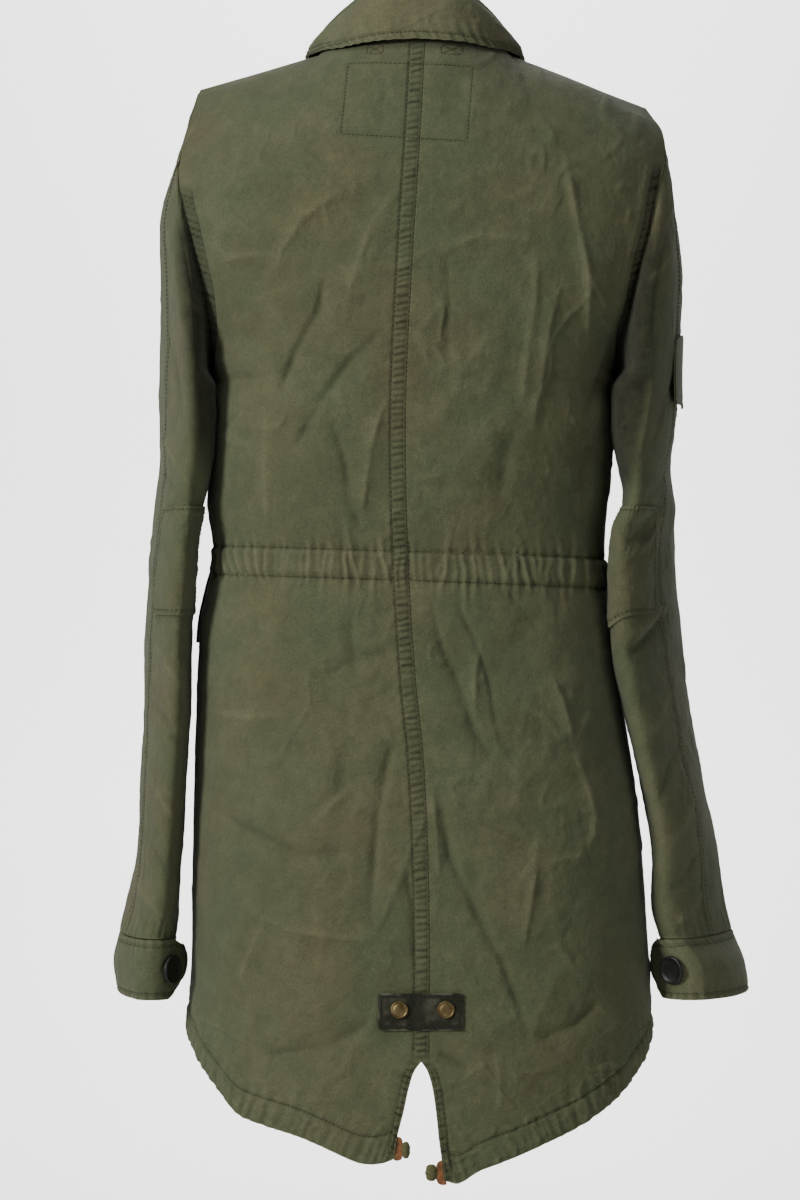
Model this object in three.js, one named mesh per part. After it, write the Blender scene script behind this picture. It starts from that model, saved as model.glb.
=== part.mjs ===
// A fishtail parka jacket, worn empty: thin cloth walls cut as a maker would cut them.
// Millimetres. +Z is up, +X is the wearer's left and +Y is the wearer's back.
// The origin is at the neck, level with the back neck seam.
import * as THREE from 'three';

// Cloth
const CLOTH = 1.4;
const HEM_CLOTH = 2.8;
const TRIM_CLOTH = 1.6;
const SEAM_GAP = 0.3;
const ON_TOP = 0.35;

// Levels
const SIDE_SLEEVE_START = -270;
const YOKE = -75;
const UNDERARM = -240;
const CASING_TOP = -361;
const CASING_BOTTOM = -383;
const HIP = -432;
const SLIT_TOP = -727;
const HEM_BAND = 20;
const CASING_SLOPE = 0.03;

// Gathers
const CASING_GATHERS = 15;
const CASING_GATHER_HEIGHT = 1.3;
const HEM_GATHERS = 7.5;
const HEM_GATHER_HEIGHT = 0.7;

// Grid of the body panels
const PANEL_COLUMNS = { back: 15, front: 11 };

// Neck
const NECK_HALF_WIDTH = 68;
const NECK_CENTRE_Y = -16;
const NECK_HALF_DEPTH = 66;
const NECK_SIDE_ANGLE = 83;
const NECK_SHARE = 0.36;

// Body sections: half widths, depths to the back and the front, and fullness of the curve
const BODY = [
  { z: -60, left: 170, right: 183, back: 91, front: 88, full: 2.4, open: 62 },
  { z: -100, left: 173, right: 176, back: 101, front: 108, full: 2.4, open: 62 },
  { z: -150, left: 161, right: 166, back: 107, front: 115, full: 2.4, open: 64 },
  { z: -200, left: 150, right: 152, back: 110, front: 118, full: 2.45, open: 73 },
  { z: -240, left: 147, right: 146, back: 110, front: 117, full: 2.5, open: 90 },
  { z: -265, left: 149.5, right: 148, back: 109.5, front: 116, full: 2.5, open: 90 },
  { z: -300, left: 151, right: 145, back: 107, front: 112, full: 2.6, open: 90 },
  { z: -330, left: 152.3, right: 142, back: 103, front: 107, full: 2.6, open: 90 },
  { z: -355, left: 149.5, right: 140.4, back: 99, front: 102, full: 2.6, open: 90 },
  { z: -372, left: 149, right: 140.6, back: 97.5, front: 100, full: 2.6, open: 90 },
  { z: -392, left: 153.5, right: 142.4, back: 102, front: 104, full: 2.6, open: 90 },
  { z: -415, left: 158, right: 144.4, back: 106, front: 108, full: 2.6, open: 90 },
  { z: -440, left: 159.3, right: 147, back: 108, front: 111, full: 2.6, open: 90 },
  { z: -478, left: 161, right: 153.5, back: 111, front: 114, full: 2.6, open: 90 },
  { z: -515, left: 162.6, right: 159.5, back: 113, front: 117, full: 2.6, open: 90 },
  { z: -590, left: 164, right: 168, back: 117, front: 122, full: 2.6, open: 90 },
  { z: -660, left: 165, right: 172, back: 119.5, front: 125, full: 2.6, open: 90 },
  { z: -705, left: 167.5, right: 173.8, back: 120.5, front: 126, full: 2.6, open: 90 },
  { z: -722, left: 168.5, right: 174, back: 120.5, front: 126, full: 2.6, open: 90 },
  { z: -760, left: 168, right: 173, back: 120, front: 126, full: 2.6, open: 90 },
  { z: -830, left: 167, right: 172, back: 119, front: 126, full: 2.6, open: 90 },
];

// Path of the centre back seam, which wanders a little
const CENTRE_BACK = [
  { z: 12, x: -2 },
  { z: -71, x: 2.4 },
  { z: -151, x: 7.4 },
  { z: -258, x: 12.4 },
  { z: -364, x: 11 },
  { z: -459, x: 5.3 },
  { z: -507, x: 0.3 },
  { z: -577, x: -3.2 },
  { z: -648, x: -4.5 },
  { z: -727, x: -4 },
  { z: -830, x: -4 },
];

// Edges of the fishtail slit, outward from the centre back seam
const SLIT = [
  { z: -727, left: 0.15, right: 0.15 },
  { z: -734, left: 5, right: 4.5 },
  { z: -746, left: 8.8, right: 8 },
  { z: -763, left: 12.5, right: 10.5 },
  { z: -781, left: 17, right: 12.4 },
  { z: -797, left: 19, right: 14.5 },
  { z: -815, left: 20, right: 16.5 },
];

// Back hem levels against the share of the half width
const HEM_BACK = [
  { s: 0.1, left: -795, right: -812 },
  { s: 0.16, left: -799.5, right: -813.5 },
  { s: 0.24, left: -800, right: -805.5 },
  { s: 0.31, left: -796, right: -801 },
  { s: 0.4, left: -789, right: -795.5 },
  { s: 0.52, left: -781, right: -787 },
  { s: 0.65, left: -775, right: -777.5 },
  { s: 0.77, left: -767.5, right: -766 },
  { s: 0.85, left: -752, right: -756 },
  { s: 0.92, left: -738, right: -743 },
  { s: 0.97, left: -725, right: -733 },
  { s: 1, left: -716, right: -722 },
];

// Front hem levels against the share of the half width
const HEM_FRONT = [
  { s: 0, left: -728, right: -728 },
  { s: 0.6, left: -727, right: -728 },
  { s: 1, left: -716, right: -722 },
];

// Armholes: level, distance outward, and depth on the back and on the front
const ARMHOLE_LEFT = [
  { z: -22, out: 159, back: -4, front: -4 },
  { z: -30, out: 160.5, back: 8, front: -14 },
  { z: -45, out: 164, back: 22, front: -27 },
  { z: -75, out: 171.5, back: 42, front: -44 },
  { z: -89, out: 172.5, back: 49, front: -50 },
  { z: -112, out: 169.5, back: 56, front: -56 },
  { z: -133, out: 164.5, back: 60, front: -59 },
  { z: -153, out: 160, back: 61, front: -60 },
  { z: -168, out: 156, back: 60, front: -58 },
  { z: -189, out: 151.8, back: 55.5, front: -53 },
  { z: -202, out: 150, back: 50, front: -48 },
  { z: -225, out: 148, back: 30, front: -29 },
  { z: -235, out: 147.2, back: 15, front: -15 },
  { z: -240, out: 147, back: 0, front: 0 },
];
const ARMHOLE_RIGHT = [
  { z: -35.5, out: 171, back: -4, front: -4 },
  { z: -43, out: 175, back: 6, front: -12 },
  { z: -56, out: 181.5, back: 22, front: -26 },
  { z: -75, out: 182, back: 38, front: -41 },
  { z: -89, out: 178.5, back: 46, front: -49 },
  { z: -112, out: 174, back: 54, front: -55 },
  { z: -133, out: 170, back: 59, front: -59 },
  { z: -153, out: 164.5, back: 61, front: -60 },
  { z: -168, out: 161, back: 60, front: -58 },
  { z: -189, out: 156, back: 55.5, front: -53 },
  { z: -202, out: 151.5, back: 50, front: -48 },
  { z: -225, out: 147.5, back: 30, front: -29 },
  { z: -235, out: 146.2, back: 15, front: -15 },
  { z: -240, out: 146, back: 0, front: 0 },
];

// Sleeve sections: distance outward, half sizes across and deep, and turn of the back edge inward
const SLEEVE_LEFT = [
  { z: -270, out: 172, across: 15.5, deep: 84, turn: 9 },
  { z: -300, out: 173.2, across: 14.5, deep: 80, turn: 8.5 },
  { z: -330, out: 175, across: 16, deep: 78, turn: 8 },
  { z: -367, out: 179, across: 15.5, deep: 77, turn: 8 },
  { z: -404, out: 181.3, across: 15.5, deep: 76, turn: 8 },
  { z: -478, out: 183.5, across: 15.7, deep: 73, turn: 8 },
  { z: -552, out: 187.2, across: 16, deep: 69, turn: 8 },
  { z: -589, out: 189.5, across: 15.5, deep: 66, turn: 8 },
  { z: -626, out: 194, across: 18, deep: 63, turn: 9 },
  { z: -646, out: 197.5, across: 20, deep: 61, turn: 9 },
  { z: -668, out: 199.5, across: 22.5, deep: 59, turn: 10 },
  { z: -692, out: 199.5, across: 19.5, deep: 60, turn: 8 },
];
const SLEEVE_RIGHT = [
  { z: -270, out: 174, across: 20, deep: 84, turn: 7 },
  { z: -302, out: 171.8, across: 16.5, deep: 80, turn: 9 },
  { z: -330, out: 173, across: 16.5, deep: 78, turn: 11 },
  { z: -350, out: 169.2, across: 17, deep: 78, turn: 15 },
  { z: -404, out: 170.5, across: 18, deep: 76, turn: 16.5 },
  { z: -441, out: 172.7, across: 19, deep: 75, turn: 17.5 },
  { z: -478, out: 178.5, across: 18.5, deep: 73, turn: 16.5 },
  { z: -515, out: 185.6, across: 18.5, deep: 70, turn: 16 },
  { z: -552, out: 194, across: 18.5, deep: 67, turn: 16.5 },
  { z: -589, out: 200, across: 18, deep: 64, turn: 19 },
  { z: -626, out: 203, across: 18, deep: 61, turn: 23 },
  { z: -646, out: 208, across: 19, deep: 60, turn: 23 },
  { z: -665, out: 213, across: 26.5, deep: 60, turn: 18 },
  { z: -690, out: 214.5, across: 30, deep: 59, turn: 18 },
];

// Largest folds of the back, as straight soft ridges (height above 0) or troughs (below 0)
const FOLDS = [
  { x1: 65, z1: -169, x2: 78, z2: -210, wide: 9, high: -3 },
  { x1: 78, z1: -210, x2: 100, z2: -258, wide: 10, high: -3 },
  { x1: 20, z1: -204, x2: 89, z2: -295, wide: 9, high: -2.4 },
  { x1: 60, z1: -108, x2: 99, z2: -160, wide: 9, high: 1.8 },
  { x1: 13, z1: -105, x2: 50, z2: -194, wide: 10, high: 1.8 },
  { x1: 61, z1: -272, x2: 40, z2: -352, wide: 12, high: -2.6 },
  { x1: 24, z1: -258, x2: 39, z2: -350, wide: 9, high: 2 },
  { x1: -106, z1: -76, x2: -122, z2: -162, wide: 9, high: 2.4 },
  { x1: -122, z1: -162, x2: -124, z2: -215, wide: 9, high: 2 },
  { x1: -104, z1: -174, x2: -84, z2: -279, wide: 9, high: 2.4 },
  { x1: -71, z1: -276, x2: -60, z2: -345, wide: 18, high: -3 },
  { x1: -131, z1: -230, x2: -114, z2: -345, wide: 16, high: -3 },
  { x1: 11, z1: -489, x2: 27, z2: -556, wide: 9, high: -3.2 },
  { x1: 27, z1: -556, x2: 32, z2: -631, wide: 9, high: -3.2 },
  { x1: 113, z1: -624, x2: 29, z2: -642, wide: 9, high: 2 },
  { x1: 50, z1: -400, x2: 52, z2: -540, wide: 16, high: -2.2 },
  { x1: 146, z1: -549, x2: 45, z2: -580, wide: 12, high: -2 },
  { x1: 111, z1: -724, x2: 25, z2: -697, wide: 12, high: -2.2 },
  { x1: -12, z1: -396, x2: -57, z2: -517, wide: 10, high: -3.2 },
  { x1: -50, z1: -425, x2: -42, z2: -485, wide: 8, high: 2.2 },
  { x1: -96, z1: -453, x2: -113, z2: -503, wide: 9, high: 2.6 },
  { x1: -113, z1: -507, x2: -127, z2: -575, wide: 10, high: 2 },
  { x1: -86, z1: -588, x2: -76, z2: -649, wide: 9, high: 2 },
  { x1: -14, z1: -528, x2: -46, z2: -627, wide: 10, high: -2.8 },
  { x1: -46, z1: -627, x2: -85, z2: -709, wide: 11, high: -2.8 },
  { x1: -92, z1: -711, x2: -135, z2: -684, wide: 11, high: -2.2 },
];

const LEFT = 1;
const RIGHT = -1;

const mix = (a, b, t) => a + (b - a) * t;
const clamp01 = (t) => Math.min(1, Math.max(0, t));
const smooth = (t) => clamp01(t) ** 2 * (3 - 2 * clamp01(t));
const radians = (degrees) => (degrees * Math.PI) / 180;
const power = (v, p) => Math.sign(v) * Math.abs(v) ** p;
const vec = (x, y, z) => new THREE.Vector3(x, y, z);

// Smooth value of one column of a table at one place of its key column
function read(table, key, at, column) {
  const up = table[table.length - 1][key] > table[0][key];
  const before = (a, b) => (up ? a < b : a > b);
  let i = 0;
  while (i < table.length - 2 && before(table[i + 1][key], at)) i += 1;
  const slope = (k) => {
    const lo = Math.max(0, k - 1);
    const hi = Math.min(table.length - 1, k + 1);
    return (table[hi][column] - table[lo][column]) / (table[hi][key] - table[lo][key]);
  };
  const k1 = table[i][key];
  const span = table[i + 1][key] - k1;
  const t = clamp01((at - k1) / span);
  const a = table[i][column];
  const b = table[i + 1][column];
  const flat = a === b ? 0 : 1;
  const t2 = t * t;
  const t3 = t2 * t;
  return (
    (2 * t3 - 3 * t2 + 1) * a +
    (t3 - 2 * t2 + t) * span * slope(i) * flat +
    (3 * t2 - 2 * t3) * b +
    (t3 - t2) * span * slope(i + 1) * flat
  );
}

const sideName = (side) => (side === LEFT ? 'left' : 'right');
const armhole = (side) => (side === LEFT ? ARMHOLE_LEFT : ARMHOLE_RIGHT);
const sleeveTable = (side) => (side === LEFT ? SLEEVE_LEFT : SLEEVE_RIGHT);
const shoulderTop = (side) => armhole(side)[0].z;

// Armhole seam point at a level, on the back or on the front
function armholePoint(side, face, z) {
  const table = armhole(side);
  return vec(side * read(table, 'z', z, 'out'), read(table, 'z', z, face), z);
}

// Neck seam point: the angle runs from 0 at the back to 180 at the front
function neckPoint(side, angle) {
  const a = radians(angle);
  const rise = [
    { a: 0, z: 10 },
    { a: 45, z: 9 },
    { a: 83, z: 5 },
    { a: 120, z: -14 },
    { a: 150, z: -42 },
    { a: 180, z: -60 },
  ];
  return vec(
    side * NECK_HALF_WIDTH * Math.sin(a),
    NECK_CENTRE_Y + NECK_HALF_DEPTH * Math.cos(a),
    read(rise, 'a', angle, 'z')
  );
}

// Height of the hand-placed folds at a place of the back
function foldHeight(x, z) {
  let sum = 0;
  for (const f of FOLDS) {
    const dx = f.x2 - f.x1;
    const dz = f.z2 - f.z1;
    const t = clamp01(((x - f.x1) * dx + (z - f.z1) * dz) / (dx * dx + dz * dz));
    const d = Math.hypot(x - f.x1 - t * dx, z - f.z1 - t * dz) / f.wide;
    if (d < 3) sum += f.high * Math.exp(-d * d);
  }
  return sum;
}

// One body row at a level: u runs from the centre line to the armhole or side seam
function bodyPoint(side, face, u, z, start) {
  const above = z > UNDERARM;
  const name = sideName(side);
  const full = 2 / read(BODY, 'z', z, 'full');
  const open = radians(Math.min(90, read(BODY, 'z', z, 'open')));
  const x0 = face === 'back' ? read(CENTRE_BACK, 'z', z, 'x') : 0;
  const out = above ? read(armhole(side), 'z', z, 'out') : read(BODY, 'z', z, name);
  const xe = side * out;
  const depth = read(BODY, 'z', z, face) * (face === 'back' ? 1 : -1);
  const ye = above ? read(armhole(side), 'z', z, face) : 0;
  const share = start / Math.abs(xe - x0);
  const first = Math.asin(clamp01(share * Math.sin(open) ** full) ** (1 / full));
  const angle = mix(first, open, u);
  const s = Math.sin(angle) ** full / Math.sin(open) ** full;
  const low = Math.max(0, Math.cos(open)) ** full;
  const c = (Math.max(0, Math.cos(angle)) ** full - low) / (1 - low);
  return { x: mix(x0, xe, s), y: mix(ye, depth, c), s };
}

const slitStart = (side, z) => (z < SLIT_TOP ? read(SLIT, 'z', z, sideName(side)) : 0);

// Level shift that follows the slightly tilted waist casing
function casingTilt(x, level) {
  const near = smooth((level + 440) / 45) * smooth((-290 - level) / 55);
  return CASING_SLOPE * x * near;
}

// The rows of a body panel from shoulder to hem; each row is a function of u
function bodyRows(side, face) {
  const rows = [];
  const top = shoulderTop(side);
  const shoulder = armholePoint(side, face, top);
  const neckAngle = (u) =>
    face === 'back'
      ? mix(0, NECK_SIDE_ANGLE, u / NECK_SHARE)
      : mix(180, NECK_SIDE_ANGLE, u / NECK_SHARE);
  const neckSide = neckPoint(side, NECK_SIDE_ANGLE);
  const topEdge = (u) =>
    u < NECK_SHARE
      ? neckPoint(side, neckAngle(u))
      : neckSide.clone().lerp(shoulder, (u - NECK_SHARE) / (1 - NECK_SHARE));
  const level = face === 'back' ? YOKE : YOKE - 37;
  const yokeRow = (u) => {
    const p = bodyPoint(side, face, u, level, 0);
    return vec(p.x, p.y, level);
  };
  const blend = (u, t) => {
    const a = topEdge(u);
    const b = yokeRow(u);
    const k = clamp01(u / NECK_SHARE);
    const c = vec(
      mix(a.x, b.x, 0.6),
      mix(a.y, b.y, mix(0.43, 0.66, k)),
      mix(a.z, b.z, mix(0.23, 0.1, k))
    );
    const w = 1 - t;
    return a
      .clone()
      .multiplyScalar(w * w)
      .addScaledVector(c, 2 * w * t)
      .addScaledVector(b, t * t);
  };
  for (const t of [0, 0.1, 0.24, 0.4, 0.58, 0.78]) {
    const edge = armholePoint(side, face, mix(top, level, t));
    const shift = edge.clone().sub(blend(1, t));
    rows.push({ edgeZ: edge.z, at: (u) => blend(u, t).addScaledVector(shift, u ** 4) });
  }
  const levels = [-75, -98, -121, -145, -169, -193, -212, -228, -240, -270, -306, -344];
  const band = [-361, -367, -377, -383];
  for (const z of levels.concat(band, [-396, -414, HIP])) {
    if (z > level + 1) continue;
    rows.push({
      edgeZ: z,
      level: z,
      fine: band.includes(z) && face === 'back' ? 4 : 1,
      casing: smooth((z - CASING_BOTTOM - 1) / 7) * smooth((CASING_TOP + 1 - z) / 7),
      at: (u) => {
        const flat = bodyPoint(side, face, u, z, 0);
        const tilted = z + casingTilt(flat.x, z);
        const p = bodyPoint(side, face, u, tilted, 0);
        return vec(p.x, p.y, tilted);
      },
    });
  }
  const hemTable = face === 'back' ? HEM_BACK : HEM_FRONT;
  const name = sideName(side);
  const bandLine = (s) => read(hemTable, 's', Math.max(s, hemTable[0].s), name) + HEM_BAND;
  const slitLine = (s) => mix(face === 'back' ? SLIT_TOP : -700, -690, s * s);
  const lowRow = (levelAt) => (u) => {
    let s = bodyPoint(side, face, u, HIP, 0).s;
    for (let i = 0; i < 4; i += 1) {
      const start = face === 'back' ? slitStart(side, levelAt(s)) : 0;
      s = bodyPoint(side, face, u, levelAt(s), start).s;
    }
    const z = levelAt(s);
    const p = bodyPoint(side, face, u, z, face === 'back' ? slitStart(side, z) : 0);
    return vec(p.x, p.y, z);
  };
  for (const share of [0.2, 0.4, 0.6, 0.8, 1])
    rows.push({ edgeZ: 0, at: lowRow((s) => mix(HIP, slitLine(s), share)) });
  for (const share of [0.35, 1])
    rows.push({ edgeZ: 0, at: lowRow((s) => mix(slitLine(s), bandLine(s), share)) });
  for (const below of [3, HEM_BAND / 2, HEM_BAND]) {
    const at = lowRow((s) => bandLine(s) - below);
    rows.push({ edgeZ: 0, fine: face === 'back' ? 2 : 1, hem: below, at });
  }
  return rows;
}

// Surface normal of a set of rows at one place, pointing out of the garment
function rowNormal(rows, i, u, turn) {
  const step = 0.004;
  const lo = Math.max(0, u - step);
  const hi = Math.min(1, u + step);
  const du = rows[i].at(hi).sub(rows[i].at(lo));
  const above = rows[Math.max(0, i - 1)].at(u);
  const below = rows[Math.min(rows.length - 1, i + 1)].at(u);
  return du.cross(below.sub(above)).multiplyScalar(turn).normalize();
}

// Triangles between two rows of points that may differ in number
function strip(out, a, b, flip) {
  let i = 0;
  let j = 0;
  const face = (p, q, r) => (flip ? out.push(p, r, q) : out.push(p, q, r));
  while (i < a.length - 1 || j < b.length - 1) {
    const nextA = i < a.length - 1 ? a[i + 1].u : Infinity;
    const nextB = j < b.length - 1 ? b[j + 1].u : Infinity;
    if (nextA <= nextB) {
      face(a[i].id, b[j].id, a[i + 1].id);
      i += 1;
    } else {
      face(a[i].id, b[j].id, b[j + 1].id);
      j += 1;
    }
  }
}

// A closed wall from rows of { outer, inner, u } points
function wall(rows, turn) {
  const points = [];
  const outer = [];
  const inner = [];
  const add = (p, u) => {
    points.push(p.x, p.y, p.z);
    return { id: points.length / 3 - 1, u };
  };
  for (const row of rows) {
    outer.push(row.map((n) => add(n.outer, n.u)));
    inner.push(row.map((n) => add(n.inner, n.u)));
  }
  const index = [];
  const flip = turn > 0;
  for (let i = 0; i < rows.length - 1; i += 1) {
    strip(index, outer[i], outer[i + 1], flip);
    strip(index, inner[i], inner[i + 1], !flip);
  }
  const last = rows.length - 1;
  const bandOf = (a, b, f) => {
    for (let k = 0; k < a.length - 1; k += 1) {
      const quad = [a[k].id, b[k].id, a[k + 1].id, a[k + 1].id, b[k].id, b[k + 1].id];
      if (f) quad.reverse();
      index.push(...quad);
    }
  };
  bandOf(outer[0], inner[0], !flip);
  bandOf(outer[last], inner[last], flip);
  bandOf(outer.map((r) => r[0]), inner.map((r) => r[0]), flip);
  bandOf(outer.map((r) => r[r.length - 1]), inner.map((r) => r[r.length - 1]), !flip);
  const geometry = new THREE.BufferGeometry();
  geometry.setAttribute('position', new THREE.Float32BufferAttribute(points, 3));
  geometry.setIndex(index);
  geometry.computeVertexNormals();
  return geometry;
}

const evenly = (count) => Array.from({ length: count + 1 }, (_, i) => i / count);

// Sleeve section point at a level: angle 0 is the back edge, 90 the outer side
function sectionPoint(side, z, angle) {
  const table = sleeveTable(side);
  const a = radians(angle);
  const across = read(table, 'z', z, 'across') * power(Math.sin(a), 0.95);
  const deep = read(table, 'z', z, 'deep') * power(Math.cos(a), 0.95);
  const turn = radians(read(table, 'z', z, 'turn'));
  const out = read(table, 'z', z, 'out') + across * Math.cos(turn) - deep * Math.sin(turn);
  return vec(side * out, deep * Math.cos(turn) + across * Math.sin(turn), z);
}

// Levels at equal shares of the armhole seam's length, found once for each side and face
const armholeRuns = {};
function armholeRun(side, face) {
  const key = sideName(side) + face;
  if (!armholeRuns[key]) {
    const top = shoulderTop(side);
    const steps = 400;
    const run = [{ z: top, length: 0 }];
    let last = armholePoint(side, face, top);
    for (let i = 1; i <= steps; i += 1) {
      const p = armholePoint(side, face, mix(top, UNDERARM, i / steps));
      run.push({ z: p.z, length: run[i - 1].length + p.distanceTo(last) });
      last = p;
    }
    const total = run[steps].length;
    armholeRuns[key] = run.map((r) => ({ z: r.z, share: r.length / total }));
  }
  return armholeRuns[key];
}
const linear = (table, key, at, column) => {
  let i = 0;
  while (i < table.length - 2 && (table[i + 1][key] - at) * Math.sign(table[1][key] - table[0][key]) < 0)
    i += 1;
  const t = (at - table[i][key]) / (table[i + 1][key] - table[i][key]);
  return mix(table[i][column], table[i + 1][column], clamp01(t));
};
const shareAtZ = (side, face, z) => linear(armholeRun(side, face), 'z', z, 'share');
const zAtShare = (side, face, share) => linear(armholeRun(side, face), 'share', share, 'z');

// Armhole ring: the angle runs from 90 at the shoulder down the back to -90 and down the front to 270
function ringPoint(side, angle) {
  const face = angle <= 90 ? 'back' : 'front';
  const share = Math.abs(90 - angle) / 180;
  return armholePoint(side, face, zAtShare(side, face, share));
}

// Outward fullness of the upper sleeve under the shoulder
const CAP_FULLNESS = {
  left: { z: -118, wide: 40, high: 5.5 },
  right: { z: -152, wide: 62, high: 5 },
};

// Upper sleeve surface between the armhole seam and the first full section
function capPoint(side, angle, t) {
  const a = ringPoint(side, angle);
  const b = sectionPoint(side, SIDE_SLEEVE_START, angle);
  const lift = Math.max(0, Math.cos(radians(angle)));
  const c = vec(mix(a.x, b.x, 0.78), mix(a.y, b.y, 0.6) + 4 * lift, mix(a.z, b.z, 0.21));
  const d = vec(mix(a.x, b.x, 1.05), mix(a.y, b.y, 0.98), mix(a.z, b.z, 0.55));
  const w = 1 - t;
  const p = a
    .multiplyScalar(w ** 3)
    .addScaledVector(c, 3 * w * w * t)
    .addScaledVector(d, 3 * w * t * t)
    .addScaledVector(b, t ** 3);
  const full = CAP_FULLNESS[sideName(side)];
  const outer = Math.max(0, Math.sin(radians(angle))) ** 1.5;
  const ends = Math.min(1, t * 6) * Math.min(1, (1 - t) * 6);
  p.x += side * full.high * outer * ends * Math.exp(-(((p.z - full.z) / full.wide) ** 2));
  return p;
}

const CAP_STEPS = [0, 0.1, 0.28, 0.5, 0.75, 1];
const SLEEVE_LEVELS = [-300, -332, -351, -371, -411, -441, -478, -515, -552, -589, -620, -645.5];
const PATCH_TOP = -332;
const PATCH_BOTTOM = -411;
const angleToU = (angle) => (angle + 90) / 360;
const uToAngle = (u) => u * 360 - 90;

// Sleeve rows as functions of u, where u 0 and 1 are the underarm seam
function sleeveRows(side) {
  const rows = CAP_STEPS.map((t) => ({ at: (u) => capPoint(side, uToAngle(u), t) }));
  for (const z of SLEEVE_LEVELS)
    rows.push({ level: z, at: (u) => sectionPoint(side, z, uToAngle(u)) });
  return rows;
}

const panelRows = {};
for (const side of [LEFT, RIGHT])
  for (const face of ['back', 'front'])
    panelRows[sideName(side) + face] = bodyRows(side, face);
const sleeves = { left: sleeveRows(LEFT), right: sleeveRows(RIGHT) };

// The sides on which u runs clockwise seen from outside
const panelTurn = (side, face) => (face === 'back' ? side : -side);
const sleeveTurn = (side) => side;

function sleeveNormal(side, i, u) {
  const rows = sleeves[sideName(side)];
  const step = 0.006;
  const wrap = (v) => (v + 1) % 1;
  const du = rows[i].at(wrap(u + step)).sub(rows[i].at(wrap(u - step)));
  const above = rows[Math.max(0, i - 1)].at(wrap(u));
  const below = rows[Math.min(rows.length - 1, i + 1)].at(wrap(u));
  return du.cross(below.sub(above)).multiplyScalar(sleeveTurn(side)).normalize();
}

// Shared offset direction of panel and sleeve along the armhole seam
function armholeNormal(side, face, z) {
  if (z > shoulderTop(side) - 0.5) return vec(side * 0.62, 0, 0.78).normalize();
  const rows = panelRows[sideName(side) + face];
  let i = 0;
  while (i < rows.length - 1 && rows[i].edgeZ > z + 0.01) i += 1;
  const own = rowNormal(rows, i, 1, panelTurn(side, face));
  const share = shareAtZ(side, face, z);
  const angle = face === 'back' ? 90 - 180 * share : 90 + 180 * share;
  const other = sleeveNormal(side, 0, angleToU(angle));
  const weight = clamp01((own.dot(other) + 0.6) / 0.6);
  return own.addScaledVector(other, weight).normalize();
}

// A body panel as a closed wall
function bodyPanel(side, face) {
  const rows = panelRows[sideName(side) + face];
  const turn = panelTurn(side, face);
  const columns = PANEL_COLUMNS[face];
  const nodes = rows.map((row, i) => {
    const count = columns * (row.fine || 1);
    return evenly(count).map((share) => {
      const width = 160;
      const u = mix((SEAM_GAP / width) * 0.5, 1 - (SEAM_GAP / width) * 0.5, share);
      const p = row.at(u);
      if (i === 0) p.addScaledVector(rows[1].at(u).sub(p).normalize(), SEAM_GAP / 2);
      let n = rowNormal(rows, i, u, turn);
      if (i === 0 && u >= NECK_SHARE) n = vec(side * 0.28, 0, 0.96);
      const onArmhole = share === 1 && row.edgeZ < 0 && row.edgeZ >= UNDERARM;
      if (onArmhole) n = armholeNormal(side, face, row.edgeZ);
      const away = smooth(share * 12) * smooth((1 - share) * 12);
      let lift = 0;
      if (face === 'back' && i > 2) lift += foldHeight(p.x, p.z) * away * (row.hem ? 0.3 : 1);
      if (row.casing && row.fine > 1)
        lift += CASING_GATHER_HEIGHT * row.casing * Math.sin(2 * Math.PI * CASING_GATHERS * share);
      if (row.hem && face === 'back')
        lift += HEM_GATHER_HEIGHT * Math.sin(2 * Math.PI * HEM_GATHERS * share) * away;
      const thick = row.hem ? HEM_CLOTH : CLOTH;
      return {
        u: share,
        outer: p.clone().addScaledVector(n, lift),
        inner: p.clone().addScaledVector(n, lift - thick),
      };
    });
  });
  return wall(nodes, turn);
}

// Sleeve columns stand where the body panel rows meet the armhole
function sleeveColumns(side) {
  const found = { back: [], front: [] };
  for (const face of ['back', 'front'])
    for (const row of panelRows[sideName(side) + face])
      if (row.edgeZ < 0 && row.edgeZ >= UNDERARM) {
        const share = shareAtZ(side, face, row.edgeZ);
        found[face].push(angleToU(face === 'back' ? 90 - 180 * share : 90 + 180 * share));
      }
  return found;
}

// One sleeve piece between two columns, as a closed wall
function sleevePiece(side, columns) {
  const rows = sleeves[sideName(side)];
  const turn = sleeveTurn(side);
  const ends = [columns[0], columns[columns.length - 1]];
  const round = 340;
  const gap = SEAM_GAP / 2 / round;
  const nodes = rows.map((row, i) =>
    columns.map((c) => {
      const u = c === ends[0] ? c + gap : c === ends[1] ? c - gap : c;
      const p = row.at(u);
      let n = sleeveNormal(side, i, u);
      if (i === 0) {
        const angle = uToAngle(c);
        const face = angle <= 90 ? 'back' : 'front';
        const z = zAtShare(side, face, Math.abs(90 - angle) / 180);
        n = armholeNormal(side, face, z);
        p.addScaledVector(rows[1].at(u).sub(p).normalize(), SEAM_GAP / 2);
      }
      return { u: c, outer: p, inner: p.clone().addScaledVector(n, -CLOTH) };
    })
  );
  return wall(nodes, turn);
}

// A patch that lies on a surface given by a point and a normal for each place
function patch(places, thick, offset, turn) {
  const nodes = places.map((row) =>
    row.map((q) => {
      const base = q.point.clone().addScaledVector(q.normal, offset + (q.lift || 0));
      return {
        u: q.u,
        outer: base.clone().addScaledVector(q.normal, thick),
        inner: base,
      };
    })
  );
  return wall(nodes, turn);
}

// Elbow patch on the back edge of the sleeve, made from the sleeve's own points
function elbowPatch(side, columns) {
  const rows = sleeves[sideName(side)];
  const near = columns.filter((u) => Math.abs(uToAngle(u)) < 64);
  const places = [];
  rows.forEach((row, i) => {
    if (!row.level || row.level > PATCH_TOP || row.level < PATCH_BOTTOM) return;
    places.push(near.map((u) => ({ u, point: row.at(u), normal: sleeveNormal(side, i, u) })));
  });
  return patch(places, 1.1, ON_TOP, sleeveTurn(side));
}

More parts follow.
